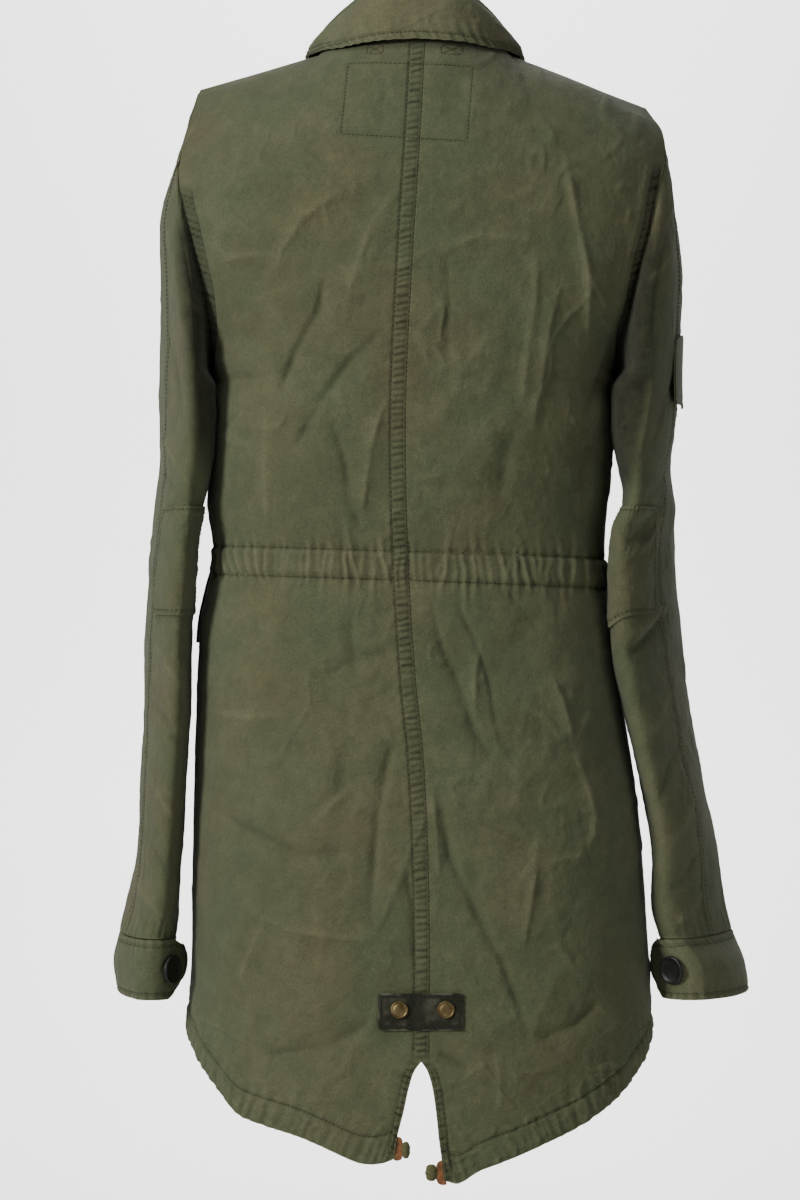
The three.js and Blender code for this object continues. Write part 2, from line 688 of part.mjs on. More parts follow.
// Cuff band: it starts under its own end and laps over it, with the end standing off a little
const CUFF_TOP = -646.2;
const CUFF_BOTTOM = -690;
const CUFF_THICK = 2.2;
const CUFF_START = 20;
const CUFF_SWEEP = 435;
const CUFF_TIP = 6;
const LAP_LIFT = CUFF_THICK + 0.7;

function cuffPlace(side, share, z) {
  const lapStart = 360 / CUFF_SWEEP;
  const at = (s, level) => {
    const angle = CUFF_START - CUFF_SWEEP * s;
    return sectionPoint(side, level, ((((angle + 90) % 360) + 360) % 360) - 90);
  };
  const along = at(share + 0.004, z).sub(at(share - 0.004, z));
  const up = at(share, z + 2).sub(at(share, z - 2));
  const normal = along.cross(up).multiplyScalar(side).normalize();
  const lap = smooth((share - lapStart + 0.05) / 0.05) * LAP_LIFT;
  return { point: at(share, z).addScaledVector(normal, lap), normal };
}

function cuff(side) {
  const shares = evenly(30).map((s) => s * 0.94).concat([0.955, 0.97, 0.985, 1]);
  const rows = [0, 0.35, 0.7, 1].map((v) =>
    shares.map((share) => {
      const end = smooth((share - 0.95) / 0.05);
      const z = mix(CUFF_TOP - 5 * end, CUFF_BOTTOM + 14 * end, v);
      const { point, normal } = cuffPlace(side, share, z);
      point.x -= side * CUFF_TIP * end * Math.sin(Math.PI * mix(0.2, 0.8, v));
      return { u: share, outer: point, inner: point.clone().addScaledVector(normal, -CUFF_THICK) };
    })
  );
  return wall(rows, -sleeveTurn(side));
}

// Collar: neck seam, fold line and free edge, from the centre back to the front
const COLLAR = [
  { a: 0, foldX: 0, foldY: 45, foldZ: 59, edgeX: 0, edgeY: 69, edgeZ: 3 },
  { a: 22, foldX: 27, foldY: 41, foldZ: 51, edgeX: 30, edgeY: 66, edgeZ: 2.5 },
  { a: 45, foldX: 51, foldY: 25, foldZ: 35, edgeX: 57, edgeY: 50, edgeZ: 2.5 },
  { a: 65, foldX: 66, foldY: 4, foldZ: 22, edgeX: 73, edgeY: 24, edgeZ: 4.5 },
  { a: 85, foldX: 71, foldY: -14, foldZ: 15, edgeX: 80.5, edgeY: -12, edgeZ: 5 },
  { a: 110, foldX: 70, foldY: -38, foldZ: 8, edgeX: 86, edgeY: -52, edgeZ: -14 },
  { a: 140, foldX: 49, foldY: -68, foldZ: -12, edgeX: 76, edgeY: -92, edgeZ: -52 },
  { a: 165, foldX: 21, foldY: -85, foldZ: -30, edgeX: 58, edgeY: -110, edgeZ: -84 },
  { a: 176, foldX: 8, foldY: -88, foldZ: -36, edgeX: 46, edgeY: -116, edgeZ: -98 },
];
const COLLAR_FOLD = 3.2;
const COLLAR_LEAN = -4;

// Collar point: across 0 is the neck seam, 0.5 the fold line and 1 the free edge
function collarPoint(angle, across) {
  const side = angle < 0 ? RIGHT : LEFT;
  const a = Math.abs(angle);
  const get = (column) => read(COLLAR, 'a', a, column);
  const seam = neckPoint(side, a);
  const middle = vec(0, NECK_CENTRE_Y, seam.z);
  const inward = middle.clone().sub(seam).setZ(0).normalize();
  const start = seam.clone().addScaledVector(inward, 1.2);
  start.z += 1.3;
  const lean = COLLAR_LEAN * clamp01(1 - a / 60);
  const fold = vec(side * get('foldX') + lean, get('foldY'), get('foldZ'));
  const edge = vec(side * get('edgeX'), get('edgeY'), get('edgeZ'));
  if (across <= 0.45) {
    const t = across / 0.45;
    const end = fold.clone().addScaledVector(inward, COLLAR_FOLD);
    end.z -= COLLAR_FOLD;
    const p = start.clone().lerp(end, t);
    return p.addScaledVector(inward, 2 * Math.sin(Math.PI * t));
  }
  if (across < 0.55) return fold.clone();
  const t = (across - 0.55) / 0.45;
  const from = fold.clone().addScaledVector(inward, -COLLAR_FOLD);
  from.z -= COLLAR_FOLD;
  const p = from.lerp(edge, t);
  return p.addScaledVector(inward, -4 * Math.sin(Math.PI * t) * (1 - t * 0.4));
}

function collar() {
  const across = [0, 0.15, 0.32, 0.45, 0.5, 0.55, 0.7, 0.85, 1];
  const angles = evenly(26).map((s) => mix(-174, 174, s));
  const nodes = across.map((w, i) =>
    angles.map((angle, k) => {
      const p = collarPoint(angle, w);
      const du = collarPoint(angle + 1.5, w).sub(collarPoint(angle - 1.5, w));
      const before = collarPoint(angle, across[Math.max(0, i - 1)]);
      const after = collarPoint(angle, across[Math.min(across.length - 1, i + 1)]);
      const n = du.cross(after.sub(before)).multiplyScalar(1).normalize();
      return {
        u: k / angles.length,
        outer: p,
        inner: p.clone().addScaledVector(n, -CLOTH),
      };
    })
  );
  return wall(nodes, 1);
}

// Place on a body panel for trims
function panelPlace(side, face, u, z) {
  const rows = [z + 3, z, z - 3].map((level) => ({
    at: (v) => {
      const p = bodyPoint(side, face, v, level, 0);
      return vec(p.x, p.y, level);
    },
  }));
  return {
    point: rows[1].at(u),
    normal: rowNormal(rows, 1, u, panelTurn(side, face)),
  };
}

// Patch made from a body panel's own points between two columns and two rows
function panelPatch(side, face, firstColumn, lastColumn, rowFrom, rowTo, offset, liftAt) {
  const rows = panelRows[sideName(side) + face];
  const places = [];
  const turn = panelTurn(side, face);
  for (let i = rowFrom; i <= rowTo; i += 1) {
    const v = (i - rowFrom) / (rowTo - rowFrom);
    const row = [];
    for (let k = firstColumn; k <= lastColumn; k += 1) {
      const u = k / PANEL_COLUMNS[face];
      const share = (k - firstColumn) / (lastColumn - firstColumn);
      const lift = liftAt ? liftAt(share, v) : 0;
      row.push({ u, point: rows[i].at(u), normal: rowNormal(rows, i, u, turn), lift });
    }
    places.push(row);
  }
  return patch(places, CLOTH, offset, turn);
}

// Front placket along the centre front, over both panels' edges
const PLACKET_OFFSET = 0.9;
function placket() {
  const rows = panelRows.leftfront.map((row, i) => i);
  const share = 1 / PANEL_COLUMNS.front;
  const nodes = rows.map((i) =>
    [-1, 0, 1].map((v) => {
      const side = v < 0 ? RIGHT : LEFT;
      const set = panelRows[sideName(side) + 'front'];
      const u = Math.max(Math.abs(v) * share, 0.0005);
      const p = set[i].at(u);
      const n = rowNormal(set, i, Math.max(u, 0.02), panelTurn(side, 'front'));
      if (i === 0) p.addScaledVector(set[1].at(u).sub(p).normalize(), 4);
      return {
        u: v,
        outer: p.clone().addScaledVector(n, PLACKET_OFFSET + TRIM_CLOTH),
        inner: p.clone().addScaledVector(n, PLACKET_OFFSET),
      };
    })
  );
  return wall(nodes, -1);
}

// Back surface at a place across the centre back seam
function backPlace(x, z) {
  const at = (px, pz) => {
    const x0 = read(CENTRE_BACK, 'z', pz, 'x');
    const side = px < x0 ? RIGHT : LEFT;
    const half = read(BODY, 'z', pz, sideName(side)) - side * x0;
    const full = read(BODY, 'z', pz, 'full');
    const s = Math.min(1, Math.abs(px - x0) / half);
    return vec(px, read(BODY, 'z', pz, 'back') * (1 - s ** full) ** (1 / full), pz);
  };
  const normal = at(x, z + 2)
    .sub(at(x, z - 2))
    .cross(at(x + 2, z).sub(at(x - 2, z)))
    .normalize();
  return { point: at(x, z), normal };
}

const TAB_LEFT = 26.5;
const TAB_RIGHT = -34;
const TAB_TOP = -678.5;
const TAB_BOTTOM = -705;
const TAB_THICK = 2;
const TAB_OFFSET = 0.5;

function backTab() {
  const places = evenly(3).map((v) =>
    evenly(8).map((share) => ({
      ...backPlace(mix(TAB_LEFT, TAB_RIGHT, share), mix(TAB_TOP, TAB_BOTTOM, v)),
      u: share,
    }))
  );
  return patch(places, TAB_THICK, TAB_OFFSET, -1);
}

// A round button, domed a little, whose axis is +Z before it is turned
function button(radius, height, segments) {
  const profile = [
    new THREE.Vector2(0, 0),
    new THREE.Vector2(radius * 0.92, 0),
    new THREE.Vector2(radius, height * 0.35),
    new THREE.Vector2(radius * 0.93, height * 0.85),
    new THREE.Vector2(0, height),
  ];
  const geometry = new THREE.LatheGeometry(profile, segments);
  geometry.rotateX(Math.PI / 2);
  return geometry;
}

// Puts a mesh on a place with its axis along the normal
function seat(geometry, point, normal, offset) {
  const turn = new THREE.Quaternion().setFromUnitVectors(vec(0, 0, 1), normal);
  const at = point.clone().addScaledVector(normal, offset);
  geometry.applyQuaternion(turn);
  geometry.translate(at.x, at.y, at.z);
  return geometry;
}

// Materials
const material = (color, roughness, metalness) =>
  new THREE.MeshStandardMaterial({ color, roughness, metalness, side: THREE.DoubleSide });
const olive = () => material(0x5c5c44, 0.92, 0);
const dark = () => material(0x2e2e27, 0.95, 0);
const brass = () => material(0x8a7340, 0.35, 1);
const leather = () => material(0x8a5a30, 0.7, 0);
const cord = () => material(0x50502e, 0.95, 0);
const horn = () => material(0x16161a, 0.45, 0);

const jacket = new THREE.Group();
jacket.name = 'jacket';

function add(name, geometry, finish) {
  const mesh = new THREE.Mesh(geometry, finish);
  mesh.name = name;
  jacket.add(mesh);
  return mesh;
}

for (const side of [LEFT, RIGHT]) {
  const name = sideName(side);
  add('back_' + name, bodyPanel(side, 'back'), olive());
  add('front_' + name, bodyPanel(side, 'front'), olive());
  const columns = sleeveColumns(side);
  const seam = 3;
  const back = columns.back.slice(seam).reverse();
  const over = columns.back.slice(1, seam + 1).reverse().concat(columns.front);
  add('sleeve_under_' + name, sleevePiece(side, back), olive());
  add('sleeve_top_' + name, sleevePiece(side, over), olive());
  add('elbow_patch_' + name, elbowPatch(side, back), olive());
  add('cuff_' + name, cuff(side), olive());
}
add('collar', collar(), olive());
add('front_placket', placket(), olive());
add('back_tab', backTab(), dark());

// Snaps on the back tab
const SNAP_RADIUS = 6.2;
for (const snap of [{ name: 'snap_left', x: 11.4 }, { name: 'snap_right', x: -21.5 }]) {
  const place = backPlace(snap.x, -690);
  const shape = button(SNAP_RADIUS, 2.4, 16);
  add(snap.name, seat(shape, place.point, place.normal, TAB_OFFSET + TAB_THICK + 0.3), brass());
}

// Cuff buttons on the lapping ends
const BUTTON_RADIUS = 10.5;
for (const seatOf of [{ side: LEFT, angle: -25 }, { side: RIGHT, angle: -13 }]) {
  const share = (CUFF_START + 360 - seatOf.angle) / CUFF_SWEEP;
  const place = cuffPlace(seatOf.side, share, -668);
  const shape = button(BUTTON_RADIUS, 3, 10);
  add('cuff_button_' + sideName(seatOf.side), seat(shape, place.point, place.normal, 0.6), horn());
}

// Front buttons down the placket
[-86, -190, -300, -408, -516, -624].forEach((z, i) => {
  const place = panelPlace(LEFT, 'front', 0.01, z);
  const shape = button(8.5, 3, 10);
  const lift = PLACKET_OFFSET + TRIM_CLOTH + 0.8;
  if (z < -112) add('front_button_' + i, seat(shape, place.point, place.normal, lift), horn());
});

// Hip pockets and their flaps on the fronts
for (const side of [LEFT, RIGHT]) {
  const name = sideName(side);
  const rows = panelRows[name + 'front'];
  const rowAt = (z) => rows.findIndex((row) => row.level === z);
  const pocket = panelPatch(side, 'front', 4, 10, rowAt(-396), rowAt(HIP) + 3, ON_TOP);
  add('pocket_' + name, pocket, olive());
  const corner = (share, v) => 1.4 * v * (0.3 + share);
  const above = ON_TOP * 2 + CLOTH;
  const flap = panelPatch(side, 'front', 4, 10, rowAt(-377), rowAt(HIP), above, corner);
  add('pocket_flap_' + name, flap, dark());
}

// Small pocket flap on the outside of the right upper arm
function armFlap() {
  const offset = 0.9;
  const places = [0.78, 0.87, 0.955].map((t, r) =>
    evenly(4).map((share) => {
      const angle = mix(62, 112, share);
      const at = (a, step) => capPoint(RIGHT, a, step);
      const du = at(angle + 2, t).sub(at(angle - 2, t));
      const dv = at(angle, t + 0.02).sub(at(angle, t - 0.02));
      const normal = du.cross(dv).multiplyScalar(sleeveTurn(RIGHT)).normalize();
      return { u: share, point: at(angle, t), normal, lift: 0.4 * r * r };
    })
  );
  return patch(places, TRIM_CLOTH, offset, sleeveTurn(RIGHT));
}
add('arm_flap_right', armFlap(), olive());

// Ends of the hem drawcord at the slit: a leather end and a knot each
const CORD_ENDS = [
  { side: LEFT, x: 9.6, z: -789, width: 6, long: 17, knotX: 3.9, knotZ: -790, knot: 2.3 },
  { side: RIGHT, x: -14.9, z: -806, width: 8, long: 17.5, knotX: -7.4, knotZ: -805, knot: 3.1 },
];
for (const end of CORD_ENDS) {
  const name = sideName(end.side);
  const place = backPlace(end.x, end.z);
  const strip = new THREE.BoxGeometry(end.width, 2.6, end.long);
  strip.translate(end.x, place.point.y - HEM_CLOTH / 2, end.z);
  add('cord_loop_' + name, strip, leather());
  const knot = new THREE.SphereGeometry(1, 10, 7);
  knot.scale(end.knot, 3.6, 6);
  knot.translate(end.knotX, place.point.y - HEM_CLOTH / 2, end.knotZ);
  add('cord_knot_' + name, knot, cord());
}

export default jacket;
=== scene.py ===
# A fishtail parka jacket, worn empty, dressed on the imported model.
# Tables and functions are in millimetres, and meshes are made in metres.
# +Z is up, +X is the wearer's left and +Y is the wearer's back.
import math

import bpy
import numpy as np
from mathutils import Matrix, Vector
from mathutils.bvhtree import BVHTree


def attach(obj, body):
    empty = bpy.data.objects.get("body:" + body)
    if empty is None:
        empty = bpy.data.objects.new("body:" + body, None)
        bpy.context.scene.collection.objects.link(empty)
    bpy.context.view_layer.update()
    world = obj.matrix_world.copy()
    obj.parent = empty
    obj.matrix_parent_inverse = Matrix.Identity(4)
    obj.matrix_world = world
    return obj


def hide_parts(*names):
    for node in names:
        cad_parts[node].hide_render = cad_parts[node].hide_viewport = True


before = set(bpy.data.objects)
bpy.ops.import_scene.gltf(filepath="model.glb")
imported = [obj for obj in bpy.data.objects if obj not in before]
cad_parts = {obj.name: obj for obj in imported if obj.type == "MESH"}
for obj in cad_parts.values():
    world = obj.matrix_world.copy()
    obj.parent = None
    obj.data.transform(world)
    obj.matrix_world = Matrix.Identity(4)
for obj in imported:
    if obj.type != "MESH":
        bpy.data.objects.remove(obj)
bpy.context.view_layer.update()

LEFT = 1
RIGHT = -1
NAME = {LEFT: "left", RIGHT: "right"}
CLOTH = 1.4
HEM_CLOTH = 2.8
INNER_STEP = 3
PATCH_CLOTH = 1.1
FLAP_CLOTH = 1.6

# Levels
SLEEVE_START = -270
YOKE = -75
FRONT_YOKE = -112
UNDERARM = -240
WAIST = -376
EVEN_AT = -520
HIP = -432
SLIT_TOP = -727
SLIT_LEVEL = -690
HEM_BAND = 20
SLEEVE_END = -645.5

# Neck
NECK_HALF_WIDTH = 68
NECK_CENTRE_Y = -16
NECK_HALF_DEPTH = 66
NECK_SIDE_ANGLE = 83
NECK_SHARE = 0.36


def table(columns, rows):
    """Named columns of a short table"""
    return {c: np.array([r[i] for r in rows], float) for i, c in enumerate(columns.split())}


# Rows of a body panel: shoulder, yoke level, step to the hip, rows to the slit and to the hem
PANEL = {"back": (40, YOKE, 2.0, 130, 52), "front": (30, FRONT_YOKE, 3.2, 60, 8)}
HEM_ROWS = 14
BACK_COLUMNS = 170
FRONT_COLUMNS = 70
FRONT_SHARES = 11

# Body sections: half widths, depths to the back and the front, fullness and opening angle
BODY = table("z left right back front full open", [
    (-60, 170, 183, 91, 88, 2.4, 62),
    (-100, 173, 176, 101, 108, 2.4, 62),
    (-150, 161, 166, 107, 115, 2.4, 64),
    (-200, 150, 152, 110, 118, 2.45, 73),
    (-240, 147, 146, 110, 117, 2.5, 90),
    (-265, 149.5, 148, 109.5, 116, 2.5, 90),
    (-300, 151, 145, 107, 112, 2.6, 90),
    (-330, 152.3, 142, 103, 107, 2.6, 90),
    (-355, 149.5, 140.4, 99, 102, 2.6, 90),
    (-372, 149, 140.6, 97.5, 100, 2.6, 90),
    (-392, 153.5, 142.4, 102, 104, 2.6, 90),
    (-415, 158, 144.4, 106, 108, 2.6, 90),
    (-440, 159.3, 147, 108, 111, 2.6, 90),
    (-478, 161, 153.5, 111, 114, 2.6, 90),
    (-515, 162.6, 159.5, 113, 117, 2.6, 90),
    (-590, 164, 168, 117, 122, 2.6, 90),
    (-660, 165, 172, 119.5, 125, 2.6, 90),
    (-705, 167.5, 173.8, 120.5, 126, 2.6, 90),
    (-722, 168.5, 174, 120.5, 126, 2.6, 90),
    (-760, 168, 173, 120, 126, 2.6, 90),
    (-830, 167, 172, 119, 126, 2.6, 90),
])

# Path of the centre back seam, which wanders a little
CENTRE_BACK = table("z x", [
    (12, -2), (-71, 2.4), (-151, 7.4), (-258, 12.4), (-364, 11), (-459, 5.3),
    (-507, 0.3), (-577, -3.2), (-648, -4.5), (-727, -4), (-830, -4),
])

# Edges of the fishtail slit, outward from the centre back seam
SLIT = table("z left right", [
    (-727, 0.15, 0.15), (-734, 5, 4.5), (-746, 8.8, 8), (-763, 12.5, 10.5),
    (-781, 17, 12.4), (-797, 19, 14.5), (-815, 20, 16.5),
])

# Hem levels against the share of the half width
HEM_BACK = table("s left right", [
    (0.1, -795, -812), (0.16, -799.5, -813.5), (0.24, -800, -805.5), (0.31, -796, -801),
    (0.4, -789, -795.5), (0.52, -781, -787), (0.65, -775, -777.5), (0.77, -767.5, -766),
    (0.85, -752, -756), (0.92, -738, -743), (0.97, -725, -733), (1, -716, -722),
])
HEM_FRONT = table("s left right", [(0, -728, -728), (0.6, -727, -728), (1, -716, -722)])

# Armholes: level, distance outward, and depth on the back and on the front
ARMHOLE = {
    LEFT: table("z out back front", [
        (-22, 159, -4, -4), (-30, 160.5, 8, -14), (-45, 164, 22, -27), (-75, 171.5, 42, -44),
        (-89, 172.5, 49, -50), (-112, 169.5, 56, -56), (-133, 164.5, 60, -59),
        (-153, 160, 61, -60), (-168, 156, 60, -58), (-189, 151.8, 55.5, -53),
        (-202, 150, 50, -48), (-225, 148, 30, -29), (-235, 147.2, 15, -15), (-240, 147, 0, 0),
    ]),
    RIGHT: table("z out back front", [
        (-35.5, 171, -4, -4), (-43, 175, 6, -12), (-56, 181.5, 22, -26), (-75, 182, 38, -41),
        (-89, 178.5, 46, -49), (-112, 174, 54, -55), (-133, 170, 59, -59),
        (-153, 164.5, 61, -60), (-168, 161, 60, -58), (-189, 156, 55.5, -53),
        (-202, 151.5, 50, -48), (-225, 147.5, 30, -29), (-235, 146.2, 15, -15), (-240, 146, 0, 0),
    ]),
}

# Sleeve sections: distance outward, half sizes across and deep, and turn of the back edge
SLEEVE = {
    LEFT: table("z out across deep turn", [
        (-270, 172, 15.5, 84, 9), (-300, 173.2, 14.5, 80, 8.5), (-330, 175, 16, 78, 8),
        (-367, 179, 15.5, 77, 8), (-404, 181.3, 15.5, 76, 8), (-478, 183.5, 15.7, 73, 8),
        (-552, 187.2, 16, 69, 8), (-589, 189.5, 15.5, 66, 8), (-626, 194, 18, 63, 9),
        (-646, 197.5, 20, 61, 9), (-668, 199.5, 22.5, 59, 10), (-692, 199.5, 19.5, 60, 8),
    ]),
    RIGHT: table("z out across deep turn", [
        (-270, 174, 20, 84, 7), (-302, 171.8, 16.5, 80, 9), (-330, 173, 16.5, 78, 11),
        (-350, 169.2, 17, 78, 15), (-404, 170.5, 18, 76, 16.5), (-441, 172.7, 19, 75, 17.5),
        (-478, 178.5, 18.5, 73, 16.5), (-515, 185.6, 18.5, 70, 16), (-552, 194, 18.5, 67, 16.5),
        (-589, 200, 18, 64, 19), (-626, 203, 18, 61, 23), (-646, 208, 19, 60, 23),
        (-665, 213, 26.5, 60, 18), (-690, 214.5, 30, 59, 18),
    ]),
}

# Creases of the back, each a soft ridge (height above 0) or trough (below 0) through places x, z
BACK_CREASES = [
    (-4.6, 8, [(65, -169), (70, -194), (86, -222), (100, -256)]),
    (-3.4, 8, [(18, -204), (47, -229), (68, -258), (89, -295)]),
    (2.6, 8, [(54, -108), (79, -126), (96, -151), (100, -169)]),
    (1.8, 6, [(139, -156), (118, -152), (96, -153)]),
    (2.4, 9, [(13, -105), (32, -133), (43, -165), (50, -194)]),
    (-3.0, 8, [(61, -272), (50, -304), (47, -332), (36, -357)]),
    (2.6, 8, [(22, -258), (32, -293), (36, -322), (39, -350)]),
    (2.2, 9, [(107, -265), (108, -310), (106, -357)]),
    (4.0, 8, [(-106, -76), (-111, -105), (-122, -162), (-124, -215)]),
    (1.8, 6, [(-122, -165), (-130, -178), (-138, -192)]),
    (3.2, 8, [(-104, -174), (-96, -201), (-89, -244), (-84, -279)]),
    (2.2, 8, [(-86, -144), (-85, -187), (-78, -229), (-74, -268)]),
    (2.0, 7, [(-26, -148), (-46, -140), (-89, -144)]),
    (-1.8, 9, [(-21, -151), (-24, -190), (-22, -236)]),
    (-3.0, 15, [(-71, -276), (-64, -305), (-60, -329)]),
    (-3.2, 13, [(-128, -283), (-121, -305), (-117, -329)]),
    (-2.8, 8, [(-152, -190), (-131, -244), (-117, -279)]),
    (-4.6, 8, [(11, -489), (20, -517), (27, -556), (32, -631)]),
    (-2.8, 6, [(7, -588), (2, -617), (-1, -663)]),
    (2.8, 7, [(113, -624), (89, -635), (61, -639), (29, -641)]),
    (2.2, 7, [(109, -631), (120, -656), (127, -677)]),
    (-2.4, 10, [(47, -411), (45, -435), (43, -457)]),
    (-2.6, 12, [(50, -478), (54, -535), (79, -553)]),
    (-2.4, 10, [(146, -549), (114, -567), (79, -581), (39, -578)]),
    (2.2, 8, [(47, -532), (58, -544), (68, -556)]),
    (-2.2, 7, [(66, -453), (36, -439), (15, -436)]),
    (2.0, 10, [(150, -482), (118, -484), (86, -482)]),
    (-3.0, 9, [(111, -724), (61, -716), (25, -695)]),
    (-4.4, 8, [(-10, -396), (-19, -432), (-32, -460), (-42, -492), (-57, -517)]),
    (2.8, 7, [(-49, -425), (-42, -453), (-42, -485)]),
    (-2.4, 6, [(-28, -400), (-42, -428), (-53, -460), (-60, -510)]),
    (-2.2, 6, [(-67, -396), (-78, -409), (-89, -421)]),
    (3.8, 8, [(-96, -453), (-104, -471), (-113, -503)]),
    (2.0, 6, [(-126, -478), (-120, -490), (-113, -503)]),
    (2.8, 8, [(-113, -507), (-121, -528), (-128, -556), (-124, -581)]),
    (2.0, 7, [(-89, -588), (-107, -583), (-124, -581)]),
    (2.8, 7, [(-86, -588), (-81, -620), (-76, -649)]),
    (-3.8, 8, [(-14, -528), (-25, -585), (-46, -627), (-64, -663), (-81, -709)]),
    (-3.0, 8, [(-81, -709), (-92, -711), (-117, -702), (-135, -684)]),
    (2.4, 7, [(-12, -535), (-15, -567), (-17, -599)]),
    (-2.0, 7, [(-42, -556), (-61, -564), (-81, -574)]),
    (2.0, 7, [(-57, -720), (-59, -742), (-60, -763)]),
    (-2.4, 7, [(-14, -720), (-26, -726), (-39, -734)]),
]

# Waist casing: its two stitched lines and their slope across the back
CASING_TOP = -365.4
CASING_BOTTOM = -386.2
CASING_SLOPE = 0.034
CASING_COUNT = 50

# Felled centre seam: distance of each stitched line from the seam
FELL = 5.2

rng = np.random.default_rng(11)


def clamp01(t):
    return np.clip(t, 0.0, 1.0)


def smooth(t):
    t = clamp01(t)
    return t * t * (3 - 2 * t)


def mix(a, b, t):
    return a + (b - a) * t


def bump(d, wide):
    return np.exp(-((d / wide) ** 2))


def power(v, p):
    return np.sign(v) * np.abs(v) ** p


def unit(v):
    return v / (np.linalg.norm(v, axis=-1, keepdims=True) + 1e-9)


def softened(v):
    """Inner rows of v, each averaged with its two neighbours"""
    return (v[:-2] + 2 * v[1:-1] + v[2:]) / 4


def run_along(p):
    """Distance along a line of points"""
    return np.concatenate([[0], np.cumsum(np.linalg.norm(np.diff(p, axis=0), axis=-1))])


def edge_run(p, from_end=False):
    """Distance along each row of a grid from its first or last point"""
    steps = np.linalg.norm(np.diff(p, axis=1), axis=-1)
    run = np.concatenate([np.zeros((len(p), 1)), np.cumsum(steps, 1)], 1)
    return run[:, -1:] - run if from_end else run


def side_edge(p):
    """Distance along each row from its nearer end"""
    return np.minimum(edge_run(p), edge_run(p, True))


def down_run(p, at=0):
    """Distance down each column of a grid from one row"""
    steps = np.linalg.norm(np.diff(p, axis=0), axis=-1)
    run = np.concatenate([np.zeros((1, p.shape[1])), np.cumsum(steps, 0)], 0)
    return run - run[at]


def rounded(edge, wide):
    """Share of the height lost at a rounded edge, from 1 at the edge to 0 at wide"""
    t = clamp01(edge / wide)
    return 1 - np.sqrt(t * (2 - t))


def corner_cut(from_end, corner):
    """Length lost to a round corner at a distance from the end"""
    t = clamp01((corner - from_end) / corner)
    return corner * (1 - np.sqrt(np.maximum(0, 1 - t**2)))


def eased(p, row, reach, times):
    """Evens out the rows about one row, where two forms meet"""
    for _ in range(times):
        p[row - reach + 1:row + reach] = softened(p[row - reach:row + reach + 1])


def read(rows, key, at, column):
    """Smooth value of one column of a table at places of its key column"""
    k, v = rows[key], rows[column]
    at = np.asarray(at, float)
    if k[-1] < k[0]:
        k, at = -k, -at
    i = np.clip(np.searchsorted(k, at, side="left") - 1, 0, len(k) - 2)
    last = len(k) - 1
    lo, hi = np.maximum(np.arange(len(k)) - 1, 0), np.minimum(np.arange(len(k)) + 1, last)
    slope = (v[hi] - v[lo]) / (k[hi] - k[lo])
    span = k[i + 1] - k[i]
    t = clamp01((at - k[i]) / span)
    flat = v[i] != v[i + 1]
    t2, t3 = t * t, t * t * t
    return (
        (2 * t3 - 3 * t2 + 1) * v[i]
        + (t3 - 2 * t2 + t) * span * slope[i] * flat
        + (3 * t2 - 2 * t3) * v[i + 1]
        + (t3 - t2) * span * slope[i + 1] * flat
    )


def noise(x, z, size, seed):
    """Smooth noise from -1 to 1 on a plane, with features about as wide as size"""
    x, z = np.broadcast_arrays(np.asarray(x, float) / size, np.asarray(z, float) / size)
    i, j = np.floor(x).astype(np.int64), np.floor(z).astype(np.int64)
    fx, fz = x - i, z - j
    fx, fz = fx**3 * (fx * (fx * 6 - 15) + 10), fz**3 * (fz * (fz * 6 - 15) + 10)

    def corner(a, b):
        n = (a * 374761393 + b * 668265263 + seed * 974634777) & 0xFFFFFFFF
        n = ((n ^ (n >> 13)) * 1274126177) & 0xFFFFFFFF
        return ((n ^ (n >> 16)) & 0xFFFF) / 32767.5 - 1

    low = mix(corner(i, j), corner(i + 1, j), fx)
    high = mix(corner(i, j + 1), corner(i + 1, j + 1), fx)
    return mix(low, high, fz)


def wrinkle(x, z, size, seed):
    """Thin soft ridges along winding lines"""
    n = noise(x, z, size, seed) + 0.45 * noise(x, z, size * 0.47, seed + 50)
    r = clamp01(1 - np.abs(n) * 4.2)
    return r * r * (3 - 2 * r) * (0.55 + 0.45 * noise(x, z, size * 0.8, seed + 51))


